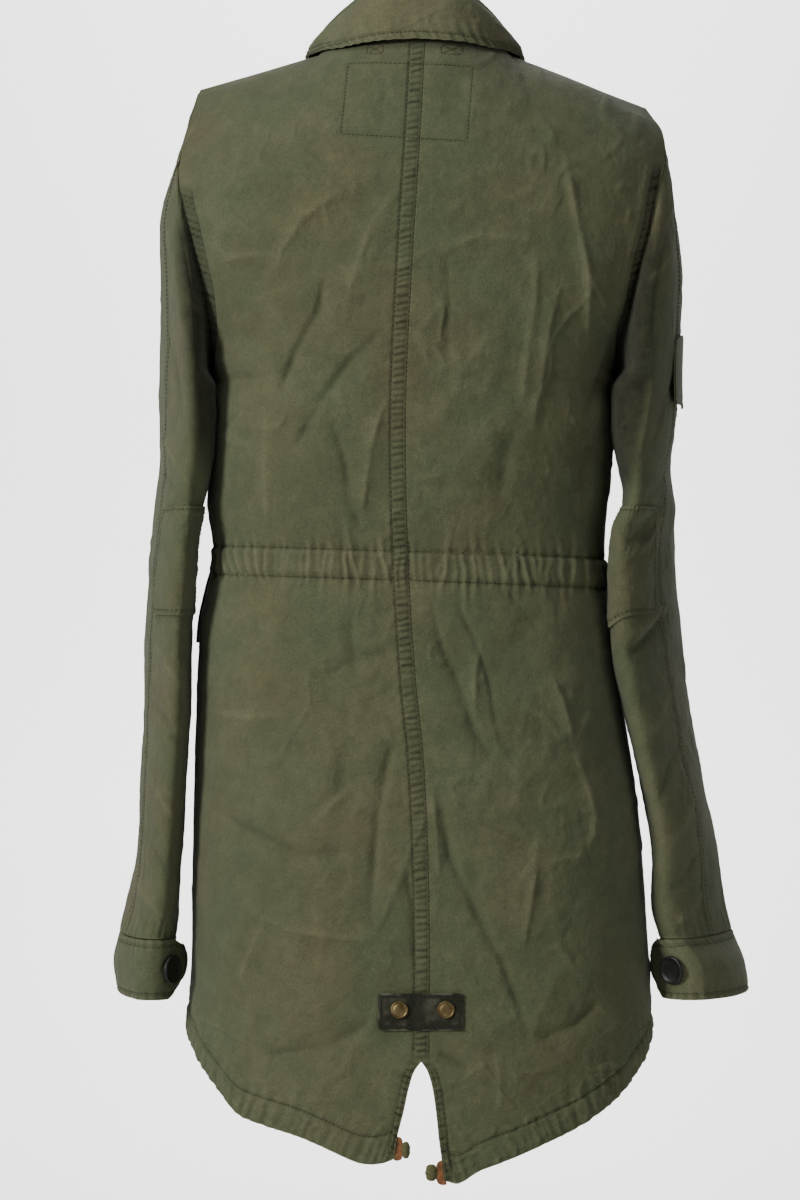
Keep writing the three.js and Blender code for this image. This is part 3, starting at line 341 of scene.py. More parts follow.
def creases(x, z, rows):
    """Height of creases, uneven along their length and faded at the ends"""
    total = np.zeros(np.shape(x))
    worn = np.zeros(np.shape(x))
    for number, (high, wide, places) in enumerate(rows):
        pts = np.array(places, float)
        seg = np.diff(pts, axis=0)
        lengths = np.hypot(seg[:, 0], seg[:, 1])
        run = np.concatenate([[0], np.cumsum(lengths)])
        lo, hi = pts.min(0) - 3 * wide, pts.max(0) + 3 * wide
        near = (x > lo[0]) & (x < hi[0]) & (z > lo[1]) & (z < hi[1])
        if not near.any():
            continue
        px, pz = x[near], z[near]
        best = np.full(px.shape, 1e9)
        along = np.zeros(px.shape)
        side = np.ones(px.shape)
        for k in range(len(seg)):
            dx, dz = px - pts[k, 0], pz - pts[k, 1]
            t = clamp01((dx * seg[k, 0] + dz * seg[k, 1]) / lengths[k] ** 2)
            d = np.hypot(dx - t * seg[k, 0], dz - t * seg[k, 1])
            closer = d < best
            best = np.where(closer, d, best)
            along = np.where(closer, run[k] + t * lengths[k], along)
            side = np.where(closer, np.sign(dx * seg[k, 1] - dz * seg[k, 0]), side)
        share = along / run[-1]
        ends = smooth(share / 0.22 + 0.12) * smooth((1 - share) / 0.22 + 0.12)
        uneven = 1 + 0.28 * np.sin(along / 9.0 + number * 2.1)
        uneven += 0.2 * noise(along, number * 7.0, 14, 3)
        lean = 1 + 0.35 * side * np.sin(number * 1.7 + 0.6)
        d = best / (wide * lean)
        total[near] += 0.72 * high * ends * uneven * (0.6 * bump(d, 0.36) + 0.4 * bump(d, 1.1))
        # Tone along the crease line: lighter on ridges for wear and a painted highlight, darker in troughs
        # as painted shade
        edge = 0.8 * bump(d, 0.22) + 0.2 * bump(d, 0.7)
        worn[near] += np.sign(high) * ends * np.clip(uneven, 0.3, 1.4) * edge
    return total, np.clip(worn, -1, 1)


def arm_read(side, z, column):
    return read(ARMHOLE[side], "z", z, column)


def armhole_point(side, face, z):
    z = np.asarray(z, float)
    return np.stack([side * arm_read(side, z, "out"), arm_read(side, z, face), z], -1)


NECK_RISE = table("a z", [(0, 10), (45, 9), (83, 5), (120, -14), (150, -42), (180, -60)])


def neck_point(side, angle):
    a = np.radians(angle)
    x = side * NECK_HALF_WIDTH * np.sin(a)
    y = NECK_CENTRE_Y + NECK_HALF_DEPTH * np.cos(a)
    return np.stack([x, y, read(NECK_RISE, "a", angle, "z") + 0 * x], -1)


def body_point(side, face, u, z, start=0.0):
    """Body surface: u runs from the centre line to the armhole or side seam"""
    u, z = np.broadcast_arrays(np.asarray(u, float), np.asarray(z, float))
    full = 2 / read(BODY, "z", z, "full")
    opening = np.radians(np.minimum(90, read(BODY, "z", z, "open")))
    x0 = read(CENTRE_BACK, "z", z, "x") if face == "back" else np.zeros(z.shape)
    above = z > UNDERARM
    xe = side * np.where(above, arm_read(side, z, "out"), read(BODY, "z", z, NAME[side]))
    depth = read(BODY, "z", z, face) * (1 if face == "back" else -1)
    ye = np.where(above, arm_read(side, z, face), 0)
    widest = np.sin(opening) ** full
    first = np.arcsin(clamp01(start / np.abs(xe - x0) * widest) ** (1 / full))
    angle = mix(first, opening, u)
    s = np.sin(angle) ** full / widest
    low = np.maximum(0, np.cos(opening)) ** full
    c = (np.maximum(0, np.cos(angle)) ** full - low) / (1 - low)
    return mix(x0, xe, s), mix(ye, depth, c), s


def slit_start(side, face, z):
    if face != "back":
        return 0.0
    return np.where(z < SLIT_TOP, read(SLIT, "z", z, NAME[side]), 0)


def casing_tilt(x, level):
    near = smooth((level + 440) / 45) * smooth((-290 - level) / 55)
    return 0.03 * x * near


def even_shares(side, face, count):
    """Shares u that stand evenly along the body's curve"""
    u = np.linspace(0, 1, 3000)
    x, y, _ = body_point(side, face, u, EVEN_AT)
    run = run_along(np.stack([x, y], -1))
    return np.interp(np.linspace(0, run[-1], count), run, u)


def shoulder_rows(side, face, u):
    """Rows from the neck and shoulder line down to the yoke level"""
    top = ARMHOLE[side]["z"][0]
    shoulder = armhole_point(side, face, top)
    count, level = PANEL[face][:2]
    neck_start = 0 if face == "back" else 180
    k = clamp01(u / NECK_SHARE)
    neck = neck_point(side, mix(neck_start, NECK_SIDE_ANGLE, k))
    neck_side = neck_point(side, np.array(float(NECK_SIDE_ANGLE)))
    along = clamp01((u - NECK_SHARE) / (1 - NECK_SHARE))[:, None]
    a = np.where((u < NECK_SHARE)[:, None], neck, mix(neck_side, shoulder, along))
    x, y, _ = body_point(side, face, u, level)
    b = np.stack([x, y, np.full(u.shape, float(level))], -1)
    c = np.stack([
        mix(a[:, 0], b[:, 0], 0.6),
        mix(a[:, 1], b[:, 1], mix(0.43, 0.66, k)),
        mix(a[:, 2], b[:, 2], mix(0.23, 0.1, k)),
    ], -1)
    rows = []
    for t in np.linspace(0, 1, count, endpoint=False):
        w = 1 - t
        p = a * w * w + c * 2 * w * t + b * t * t
        edge = armhole_point(side, face, mix(top, level, t))
        rows.append(p + (edge - p[-1]) * (u**4)[:, None])
    return rows


def level_row(side, face, u, z):
    tilted = z + casing_tilt(body_point(side, face, u, z)[0], z)
    x, y, _ = body_point(side, face, u, tilted)
    return np.stack([x, y, tilted], -1)


def hem_line(side, face, s):
    """Top of the hem casing"""
    rows = HEM_BACK if face == "back" else HEM_FRONT
    return read(rows, "s", np.maximum(s, rows["s"][0]), NAME[side]) + HEM_BAND


def slit_line(face, s):
    """Level that passes the top of the slit and runs out to the side seam"""
    return mix(SLIT_TOP if face == "back" else -700, SLIT_LEVEL, s * s)


def low_row(side, face, u, level_at):
    s = body_point(side, face, u, HIP)[2]
    for _ in range(6):
        z = level_at(s)
        x, y, s = body_point(side, face, u, z, slit_start(side, face, z))
    return np.stack([x, y, z + 0 * x], -1)


def normals(p, inside):
    """Unit normals of a grid of points, turned away from the points inside"""
    dv, du = np.gradient(p, axis=0), np.gradient(p, axis=1)
    n = unit(np.cross(du, dv))
    return -n if np.sum(n * (p - inside)) < 0 else n


def grid_faces(rows, cols, flip):
    i = np.arange(rows - 1)[:, None] * cols + np.arange(cols - 1)[None, :]
    q = np.stack([i, i + cols, i + cols + 1, i + 1], -1).reshape(-1, 4)
    return q[:, ::-1] if flip else q


def make_object(name, verts, faces, material, tone=None, uv=None):
    mesh = bpy.data.meshes.new(name)
    faces = faces if isinstance(faces, list) else np.asarray(faces).tolist()
    mesh.from_pydata((np.asarray(verts) * 0.001).tolist(), [], faces)
    mesh.polygons.foreach_set("use_smooth", [True] * len(mesh.polygons))
    if tone is not None:
        layer = mesh.attributes.new("tone", "FLOAT", "POINT")
        layer.data.foreach_set("value", np.asarray(tone, np.float32))
    if uv is not None:
        loops = np.zeros(len(mesh.loops), np.int32)
        mesh.loops.foreach_get("vertex_index", loops)
        layer = mesh.uv_layers.new(name="cloth")
        layer.data.foreach_set("uv", (np.asarray(uv)[loops] * 0.001).astype(np.float32).ravel())
    mesh.update()
    obj = bpy.data.objects.new(name, mesh)
    bpy.context.collection.objects.link(obj)
    mesh.materials.append(material)
    return obj


def shell(name, p, inside, thick, material, tone):
    """A thin cloth wall with its outer face on the grid p; the inner face is coarser"""
    rows, cols = p.shape[:2]
    n = normals(p, inside)
    across = n.swapaxes(0, 1)
    for _ in range(8):
        n[1:-1] = softened(n)
        across[1:-1] = softened(across)
    n = unit(n)
    thick = np.broadcast_to(np.asarray(thick, float), (rows, cols))[..., None]
    inner = p - n * thick
    flip = np.sum(np.cross(np.gradient(p, axis=0), np.gradient(p, axis=1)) * n) <= 0
    faces = grid_faces(rows, cols, flip).tolist()
    ri = np.unique(np.append(np.arange(0, rows, INNER_STEP), rows - 1))
    ci = np.unique(np.append(np.arange(0, cols, INNER_STEP), cols - 1))
    core = np.ix_(ri[1:-1], ci[1:-1])
    r, c = np.arange(rows), np.arange(cols)
    loop = [(i, 0) for i in r[:-1]] + [(rows - 1, j) for j in c[:-1]]
    loop += [(i, cols - 1) for i in r[:0:-1]] + [(0, j) for j in c[:0:-1]]
    li = np.array(loop)
    count = len(li)
    middle = rows * cols + (len(ri) - 2) * (len(ci) - 2)
    ring = li[:, 0] * cols + li[:, 1]
    k = np.arange(count)
    nxt = (k + 1) % count
    last = middle + count
    one = np.stack([ring, ring[nxt], middle + nxt, middle + k], -1)
    two = np.stack([middle + k, middle + nxt, last + nxt, last + k], -1)
    rim = np.concatenate([one, two])
    faces += (rim[:, ::-1] if flip else rim).tolist()
    # The inner face is a coarse grid whose outermost cells take in every point of the rim
    ids = np.full((rows, cols), -1)
    ids[core] = np.arange(rows * cols, middle).reshape(len(ri) - 2, -1)
    ids[li[:, 0], li[:, 1]] = last + k
    for i in range(len(ri) - 1):
        for j in range(len(ci) - 1):
            a, b, left, right = ri[i], ri[i + 1], ci[j], ci[j + 1]
            cell = [(a, left)]
            cell += [(v, left) for v in range(a + 1, b)] if left == 0 else []
            cell += [(b, left)]
            cell += [(b, v) for v in range(left + 1, right)] if b == rows - 1 else []
            cell += [(b, right)]
            cell += [(v, right) for v in range(b - 1, a, -1)] if right == cols - 1 else []
            cell += [(a, right)]
            cell += [(a, v) for v in range(right - 1, left, -1)] if a == 0 else []
            face = [int(ids[q]) for q in cell]
            faces.append(face if flip else face[::-1])
    at_rim = li[:, 0], li[:, 1]
    edge = (p - n * thick * 0.5)[at_rim]
    verts = [p.reshape(-1, 3), inner[core].reshape(-1, 3), edge, inner[at_rim]]
    uv = np.stack([edge_run(p), down_run(p)], -1)
    uvs = np.concatenate([uv.reshape(-1, 2), uv[core].reshape(-1, 2), uv[at_rim], uv[at_rim]])
    tone = np.broadcast_to(tone, (rows, cols))
    tones = np.concatenate([tone.ravel(), tone[core].ravel(), tone[at_rim], tone[at_rim]])
    return make_object(name, np.concatenate(verts), faces, material, tones, uvs)


# Materials


def node(tree, kind, inputs=None, **settings):
    """A shader node; an input is another node's output or a plain value"""
    made = tree.nodes.new(kind)
    for key, value in settings.items():
        setattr(made, key, value)
    for key, value in (inputs or {}).items():
        if isinstance(value, bpy.types.NodeSocket):
            tree.links.new(value, made.inputs[key])
        else:
            made.inputs[key].default_value = value
    return made


def calc(tree, operation, a, b):
    return node(tree, "ShaderNodeMath", {0: a, 1: b}, operation=operation).outputs[0]


def blend_colour(tree, fac, a, b, kind="MIX"):
    inputs = {0: fac, 6: a, 7: b}
    return node(tree, "ShaderNodeMix", inputs, data_type="RGBA", blend_type=kind).outputs[2]


def ramp(tree, value, lo, hi, to_lo=0.0, to_hi=1.0):
    inputs = {0: value, 1: lo, 2: hi, 3: to_lo, 4: to_hi}
    return node(tree, "ShaderNodeMapRange", inputs).outputs[0]


def noise_node(tree, place, scale, detail=3.0, rough=0.5):
    inputs = {"Vector": place, "Scale": scale, "Detail": detail, "Roughness": rough}
    return node(tree, "ShaderNodeTexNoise", inputs).outputs[0]


def rgb(r, g, b):
    """Colour from screen values of 0 to 255"""
    return tuple(((v / 255 + 0.055) / 1.055) ** 2.4 for v in (r, g, b)) + (1.0,)


def new_material(name, roughness):
    material = bpy.data.materials.new(name)
    material.use_nodes = True
    tree = material.node_tree
    shader = tree.nodes["Principled BSDF"]
    shader.inputs["Roughness"].default_value = roughness
    return material, tree, shader


def bump_node(tree, strength, distance, height, **normal):
    inputs = {"Strength": strength, "Distance": distance, "Height": height, **normal}
    return node(tree, "ShaderNodeBump", inputs).outputs[0]


WEAVE = 1150 / 6.2832


def cloth_material(name, base, dark, light, warm, patchy=0.46):
    """Washed twill: soft patches of colour, worn ridges, painted light, painted shade in hollows and a
    fine diagonal rib
    """
    material, tree, shader = new_material(name, 0.9)
    place = node(tree, "ShaderNodeTexCoord").outputs["Object"]
    uv = node(tree, "ShaderNodeUVMap", uv_map="cloth").outputs[0]
    tone = node(tree, "ShaderNodeAttribute", attribute_name="tone").outputs["Fac"]
    broad = ramp(tree, noise_node(tree, place, 12.0, 6.0, 0.68), 0.42, 0.66)
    colour = blend_colour(tree, calc(tree, "MULTIPLY", broad, patchy), base, warm)
    mottle = ramp(tree, noise_node(tree, place, 60.0, 6.0, 0.72), 0.3, 0.7, -1.0, 1.0)
    total = calc(tree, "ADD", calc(tree, "MULTIPLY", mottle, 0.17), tone)
    up = node(tree, "ShaderNodeClamp", {0: total}).outputs[0]
    down = node(tree, "ShaderNodeClamp", {0: calc(tree, "MULTIPLY", total, -1.0)}).outputs[0]
    # Tone above 0 mixes in the light colour (wear and painted light), below 0 the dark colour (stitched
    # lines and painted shade)
    colour = blend_colour(tree, up, colour, light)
    colour = blend_colour(tree, down, colour, dark)
    fleck = ramp(tree, noise_node(tree, place, 900.0, 2.0, 0.7), 0.3, 0.7, 0.82, 1.2)
    fleck_colour = node(tree, "ShaderNodeCombineColor", {0: fleck, 1: fleck, 2: fleck}).outputs[0]
    colour = blend_colour(tree, 1.0, colour, fleck_colour, "MULTIPLY")
    tree.links.new(colour, shader.inputs["Base Color"])
    slant = {"Vector": uv, "Rotation": (0, 0, math.radians(58))}
    turned = node(tree, "ShaderNodeMapping", slant).outputs[0]
    wave = {"Vector": turned, "Scale": WEAVE, "Distortion": 1.2, "Detail": 2.0, "Detail Scale": 2.0}
    rib = node(tree, "ShaderNodeTexWave", wave).outputs[1]
    fine = noise_node(tree, place, 1500.0, 3.0, 0.6)
    crumple = noise_node(tree, place, 150.0, 4.0, 0.6)
    first = bump_node(tree, 0.35, 0.00022, calc(tree, "ADD", rib, fine))
    second = bump_node(tree, 0.6, 0.0018, crumple, Normal=first)
    tree.links.new(second, shader.inputs["Normal"])
    shader.inputs["Sheen Weight"].default_value = 0.1
    shader.inputs["Sheen Roughness"].default_value = 0.55
    shader.inputs["Specular IOR Level"].default_value = 0.2
    return material


def plain_material(name, colour, dark, roughness, scale, depth=0.00005, metallic=0.0):
    """Worn solid material: colour varies with two noises, and the surface is slightly uneven"""
    material, tree, shader = new_material(name, roughness)
    place = node(tree, "ShaderNodeTexCoord").outputs["Object"]
    worn = ramp(tree, noise_node(tree, place, scale, 4.0, 0.6), 0.35, 0.65)
    tree.links.new(blend_colour(tree, worn, colour, dark), shader.inputs["Base Color"])
    uneven = noise_node(tree, place, scale * 2, 3.0, 0.6)
    rough = ramp(tree, uneven, 0.3, 0.7, roughness * 0.8, min(1.0, roughness * 1.2))
    tree.links.new(rough, shader.inputs["Roughness"])
    grain = noise_node(tree, place, scale * 4, 3.0, 0.6)
    tree.links.new(bump_node(tree, 0.5, depth, grain), shader.inputs["Normal"])
    shader.inputs["Metallic"].default_value = metallic
    return material


OLIVE = cloth_material(
    "olive_twill", rgb(83, 89, 63), rgb(33, 33, 20), rgb(126, 122, 94), rgb(98, 88, 64)
)
DARK = cloth_material(
    "dark_twill", rgb(39, 40, 28), rgb(24, 24, 17), rgb(98, 98, 82), rgb(52, 47, 35), patchy=0.3
)
BROWN_THREAD = plain_material("brown_thread", rgb(84, 62, 38), rgb(60, 42, 26), 0.85, 500.0)
SLEEVE_THREAD = plain_material("sleeve_thread", rgb(72, 72, 50), rgb(52, 50, 34), 0.85, 500.0)
THREAD = plain_material("thread", rgb(70, 60, 36), rgb(50, 46, 30), 0.85, 500.0)
DARK_THREAD = plain_material("dark_thread", rgb(60, 60, 50), rgb(40, 40, 34), 0.85, 900.0)
BRASS = plain_material("worn_brass", rgb(138, 122, 86), rgb(96, 80, 50), 0.5, 160.0, 0.00006, 1.0)
LEATHER = plain_material("leather", rgb(148, 98, 56), rgb(98, 58, 30), 0.6, 240.0, 0.00022)
CORD = plain_material("cord_braid", rgb(104, 104, 62), rgb(66, 66, 38), 0.92, 900.0, 0.0003)
BUTTON = plain_material("dark_button", rgb(26, 25, 24), rgb(16, 16, 15), 0.45, 200.0)


def wear(obj, stands_for=None):
    """Attaches one visible piece to the root body and hides the solid it stands for"""
    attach(obj, "root")
    if stands_for:
        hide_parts(stands_for)
    return obj


def cloth_piece(name, p, inside, thick, tone, stands_for, held, *rests_on, material=OLIVE):
    """One sewn cloth: its shell, attached to the root body, with the solid it stands for hidden"""
    obj = shell(name, p, inside, thick, material, tone)
    wear(obj, stands_for)
    return obj


# Body panels


def panel_grid(side, face, cols):
    """Points of a body panel from the shoulder to the hem, and the row where the hem begins"""
    joint, level, step, long, low = PANEL[face]
    u = even_shares(side, face, cols)
    rows = shoulder_rows(side, face, u)
    for z in np.linspace(level, HIP, int((level - HIP) / step)):
        rows.append(level_row(side, face, u, z))

    def add(share, top, bottom):
        rows.append(low_row(side, face, u, lambda s: mix(top(s), bottom(s), share)))

    hip, slit = lambda s: HIP, lambda s: slit_line(face, s)
    hem, end = lambda s: hem_line(side, face, s), lambda s: hem_line(side, face, s) - HEM_BAND
    for share in np.linspace(0, 1, long)[1:]:
        add(share, hip, slit)
    for share in np.linspace(0, 1, low)[1:]:
        add(share, slit, hem)
    hem_from = len(rows) - 1
    for share in np.linspace(0, 1, HEM_ROWS)[1:]:
        add(share, hem, end)
    p = np.stack(rows)
    eased(p, joint, 8, 30)
    return p, hem_from


CASING_X = np.linspace(-148, 157, CASING_COUNT) + rng.uniform(-2.2, 2.2, CASING_COUNT)
CASING_HIGH = rng.uniform(0.5, 1.6, CASING_COUNT)
CASING_LONG = np.where(rng.random(CASING_COUNT) < 0.3, 2.6, 1.0)
CASING_UP = rng.uniform(2.5, 8, CASING_COUNT) * CASING_LONG
CASING_DOWN = rng.uniform(3, 9, CASING_COUNT) * CASING_LONG[::-1]
CASING_LEAN = rng.uniform(-0.22, 0.22, CASING_COUNT)


def casing_lift(x, z):
    """Gathers of the waist casing, its two stitched lines and the cloth puffed between them"""
    top, bottom = CASING_TOP + CASING_SLOPE * x, CASING_BOTTOM + CASING_SLOPE * x
    near = (z > bottom - 130) & (z < top + 110)
    lift, tone = np.zeros(x.shape), np.zeros(x.shape)
    xs, zs, t, b = x[near], z[near], top[near], bottom[near]
    above, below = np.maximum(0, zs - t), np.maximum(0, b - zs)
    away = above + below
    total = np.zeros(xs.shape)
    for k in range(CASING_COUNT):
        reach = np.exp(-((above / CASING_UP[k]) ** 1.3)) * np.exp(-((below / CASING_DOWN[k]) ** 1.3))
        wide = 1.7 + 0.1 * away
        centre = CASING_X[k] + CASING_LEAN[k] * (zs - (t + b) / 2) + 1.3 * noise(k * 7.0, zs, 10, 12)
        form = bump(xs - centre, wide) - 0.6 * bump(xs - centre - 3.0, wide * 0.8)
        total += CASING_HIGH[k] * reach * form
    line = bump(zs - t, 1.2) + bump(zs - b, 1.2)
    inside = smooth((t - zs) / 4) * smooth((zs - b) / 4)
    lift[near] = total - 1.2 * line + 1.1 * inside - 0.7 * np.exp(-away / 5) * (away > 0)
    # Gathers lighter on their ridges and darker in their hollows as painted shade
    tone[near] = np.clip(total * 0.2, -0.34, 0.26) * np.exp(-away / 8) - 0.3 * line
    return lift, tone


def puckers(along, wave, seed):
    """Uneven short ridges along a stitched line"""
    phase = along / wave + 0.55 * noise(along, seed * 3.0, wave * 2.2, seed)
    size = 0.7 + 0.45 * noise(along, 5.0, wave * 3.1, seed + 9)
    return np.sin(2 * np.pi * phase) * size


def marks(along, wave, seed, wide=0.7):
    """Thin marks across a stitched line, from 0 to 1, uneven in place and strength"""
    phase = along / wave + 0.45 * noise(along, seed * 3.0, wave * 2.5, seed)
    nearest = np.round(phase)
    strong = 0.68 + 0.32 * noise(nearest, seed * 1.0, 1.0, seed + 4)
    return bump((phase - nearest) * wave, wide) * strong


def seam_lift(x, z):
    """Puckered cloth beside the felled centre seam"""
    d = x - read(CENTRE_BACK, "z", z, "x")
    on = z > SLIT_TOP - 4
    along = z + 0.5 * np.abs(d) + 0.35 * d
    wave = puckers(along, 9.5, 5)
    reach = np.exp(-((np.abs(d) / 9) ** 1.6))
    line = bump(np.abs(d) - FELL, 1.2)
    lift = (0.5 * wave * reach - 0.5 * line) * on
    # Puckers lighter on their ridges and darker in their hollows as painted shade
    tone = (np.clip(wave, -1, 1) * 0.1 * bump(d, 8) - 0.16 * line) * on
    return lift, tone


def soft_cloth(x, z, seed, size=1.0):
    """Low uneven waves and small crumples of washed cloth"""
    slow = noise(x + 0.3 * z, z, 62 * size, seed) * 1.3
    middle = noise(x * 1.3 + 0.5 * z, z * 0.8 - 0.3 * x, 26 * size, seed + 1) * 0.5
    wx = x + 6 * noise(x, z, 30 * size, seed + 6)
    wz = z + 6 * noise(x, z, 30 * size, seed + 7)
    first = wrinkle(wx + 0.55 * wz, 0.6 * wz - 0.4 * wx, 34 * size, seed + 2)
    second = wrinkle(wx - 0.8 * wz, 0.7 * wz + 0.5 * wx, 40 * size, seed + 3)
    where = smooth(0.5 + 1.3 * noise(x, z, 48 * size, seed + 4))
    fine = noise(x, z, 6 * size, seed + 5) * 0.16 + noise(x, z, 11 * size, seed + 8) * 0.2
    crisp = wrinkle(0.9 * wx + 0.3 * wz, 0.8 * wz - 0.25 * wx, 17 * size, seed + 10)
    here = smooth(0.4 + 1.5 * noise(x, z, 38 * size, seed + 11))
    return slow + middle + 1.4 * first * where + 1.3 * second * (1 - where) + 0.6 * crisp * here + fine


def near_waist(z):
    return bump(z - WAIST, 26)


def above_hem(to_hem, wide):
    """Fades the hem's puckers upward from its stitched line"""
    return np.where(to_hem > 0, np.exp(-((np.abs(to_hem) / wide) ** 1.5)), 1.0)


def line_distance(x, z, a, b):
    dx, dz = b[0] - a[0], b[1] - a[1]
    t = clamp01(((x - a[0]) * dx + (z - a[1]) * dz) / (dx * dx + dz * dz))
    return np.hypot(x - a[0] - t * dx, z - a[1] - t * dz)


# Stitched outline on the yoke, under the collar
CORNERS = [(48.6, -11.1), (-41.8, -14), (-37, -71.7), (53.3, -66)]
RECTANGLE = [(CORNERS[i], CORNERS[(i + 1) % 4]) for i in range(4)]


# Seam band beside the back armholes: its top level and its width
BAND_TOP = {LEFT: -98, RIGHT: -78}
BAND_WIDE = {LEFT: 15, RIGHT: 10}
SLIT_LINES = (2.6, 6.2)
CREASE_WEAR_AND_SHADING = 0.22


def back_lift(side, p, hem_from):
    """Height over the plain back panel, and its worn or shaded tone"""
    x, z = p[..., 0], p[..., 2]
    to_side, from_centre = edge_run(p, True), edge_run(p)
    to_hem = -down_run(p, hem_from)
    free = smooth(to_side / 26)
    top = smooth((down_run(p) - 4) / 30)
    casing, casing_tone = casing_lift(x, z)
    seam, seam_tone = seam_lift(x, z)
    fold, worn = creases(x, z, BACK_CREASES)
    soft = soft_cloth(x, z, 21)
    main = (fold + soft) * (1 - 0.75 * near_waist(z)) * smooth((to_hem + 14) / 26)
    lift = main * free * top + casing * smooth(to_side / 8) + seam * top
    # Creases lighter on ridges for wear and a painted highlight, darker in troughs as painted shade; the
    # soft waves lighter where high and darker where low as painted light and shade
    tone = casing_tone + seam_tone + (CREASE_WEAR_AND_SHADING * worn + 0.05 * np.clip(soft, -2, 2)) * free
    # Armhole seam: a sunk, ticked band beside the seam, under a soft edge of the panel; the band and its
    # ticks are darkened as painted shade
    hole = smooth((z - UNDERARM) / 24) * smooth((BAND_TOP[side] - z) / 14)
    wide = BAND_WIDE[side]
    band = smooth((wide - to_side) / 2.5)
    tick = marks(z + 0.35 * to_side, 5.2, 31 + side, 1.1) * band
    line = bump(to_side - 1.6, 0.8) + bump(to_side - wide + 1.4, 0.9)
    form = 0.9 * bump(to_side - wide - 4, 4) - 0.5 * band - 0.4 * tick - 0.3 * line
    lift += hole * form * smooth(to_side / 1.5)
    tone -= hole * (0.26 * band + 0.75 * tick + 0.3 * line)
    # Slit edges: a narrow stitched hem
    slit = smooth((SLIT_TOP + 4 - z) / 8)
    mark = bump(from_centre - SLIT_LINES[1], 1.0) + 0.6 * bump(from_centre - 2.4, 0.8)
    tick = marks(z - 0.3 * from_centre, 4.4, 41 + side, 0.9) * smooth((6.4 - from_centre) / 1.4)
    wave = puckers(z - 0.4 * from_centre, 8.5, 43 + side)
    near = bump(from_centre, 12)
    lift += slit * (0.5 * wave * near - 0.7 * tick - 0.5 * mark + 0.7 * bump(from_centre - 3, 2.8))
    # Puckers lighter on their ridges and darker in their hollows, and the ticks between them darkened, as
    # painted shade
    tone += slit * (0.08 * wave * near - 0.8 * tick - 0.22 * mark + 0.12 * bump(from_centre, 1))
    # Hem casing: a folded band with uneven slanting crumples
    run = from_centre + 0.25 * to_hem
    wave = puckers(run, 11.0, 51 + side)
    slant = wrinkle(run + 0.9 * to_hem, 1.6 * to_hem - 0.3 * run, 15, 55 + side)
    band = smooth((4 - to_hem) / 6)
    reach = above_hem(to_hem, 12)
    mark = bump(to_hem, 1.2)
    ruffle = puckers(run + 3 * noise(run, to_hem, 12, 58), 6.6, 59 + side)
    ruffle = ruffle * smooth((2 - to_hem) / 10)
    lift += (0.45 * wave + 1.5 * slant + 0.45 * ruffle) * reach - 0.9 * mark
    lift += 0.8 * band * bump(to_hem + 10, 8) - 0.4 * corner_cut(to_hem + HEM_BAND, 3)
    # Crumples and puckers lighter on their ridges and darker in their hollows as painted shade
    tone += (0.08 * wave + 0.2 * slant + 0.1 * ruffle) * reach - 0.2 * mark
    tone += 0.1 * bump(to_hem + HEM_BAND, 1.2)
    # Yoke outline
    for a, b in RECTANGLE:
        d = line_distance(x, z, a, b)
        lift -= 0.35 * bump(d, 1.1)
        tone -= 0.14 * bump(d, 1.2)
    return lift, np.clip(tone, -0.9, 0.6)


def centre_axis(p):
    inside = p.copy()
    inside[..., 0] *= 0.2
    inside[..., 1] = 0
    return inside


def hem_thick(p, hem_from):
    return np.where(np.arange(len(p)) > hem_from, HEM_CLOTH, CLOTH)[:, None]


backs = {}
body_cloths = []
for side in (LEFT, RIGHT):
    p, hem_from = panel_grid(side, "back", BACK_COLUMNS)
    n = normals(p, centre_axis(p))
    lift, tone = back_lift(side, p, hem_from)
    p = p + n * lift[..., None]
    backs[side] = p
    body_cloths.append(cloth_piece(
        "back_panel_" + NAME[side], p, centre_axis(p), hem_thick(p, hem_from), tone,
        "back_" + NAME[side], "hung", "collar",
    ))

for side in (LEFT, RIGHT):
    p, hem_from = panel_grid(side, "front", FRONT_COLUMNS)
    n = normals(p, centre_axis(p))
    x, z = p[..., 0], p[..., 2]
    to_side, from_centre = edge_run(p, True), edge_run(p)
    free = smooth(to_side / 26) * smooth((down_run(p) - 4) / 30) * smooth(from_centre / 40)
    casing, tone = casing_lift(x, z)
    to_hem = -down_run(p, hem_from)
    wave = puckers(from_centre, 9.0, 61 + side) * above_hem(to_hem, 15)
    fold, worn = creases(14 - x, z - 6, BACK_CREASES)
    calm = free * (1 - 0.7 * near_waist(z)) * smooth((to_hem + 14) / 26)
    # The cloth lies flatter under the hip pockets
    pocket = smooth((np.abs(x) - 62) / 12) * smooth((-385 - z) / 12) * smooth((z + 616) / 12)
    calm = calm * (1 - 0.85 * pocket)
    lift = (soft_cloth(x, z, 77) + 0.9 * fold) * calm
    lift += casing * smooth(to_side / 8) * 0.7 * smooth(from_centre / 16)
    lift += 0.7 * wave - 0.8 * bump(to_hem, 1.6)
    # Puckers lighter on their ridges and darker in their hollows as painted shade; creases lighter on
    # ridges for wear and a painted highlight, darker in troughs as painted shade
    tone = tone + 0.16 * wave - 0.15 * bump(to_hem, 1.6) + 0.2 * worn * calm
    p = p + n * lift[..., None]
    body_cloths.append(cloth_piece(
        "front_panel_" + NAME[side], p, centre_axis(p), hem_thick(p, hem_from), tone,
        "front_" + NAME[side], "hung", "back_" + NAME[side], "collar",
    ))

# Sleeves


def section_point(side, z, angle):
    z, angle = np.broadcast_arrays(np.asarray(z, float), np.asarray(angle, float))
    a = np.radians(angle)
    rows = SLEEVE[side]
    across = read(rows, "z", z, "across") * power(np.sin(a), 0.95)
    deep = read(rows, "z", z, "deep") * power(np.cos(a), 0.95)
    turn = np.radians(read(rows, "z", z, "turn"))
    out = read(rows, "z", z, "out") + across * np.cos(turn) - deep * np.sin(turn)
    return np.stack([side * out, deep * np.cos(turn) + across * np.sin(turn), z], -1)


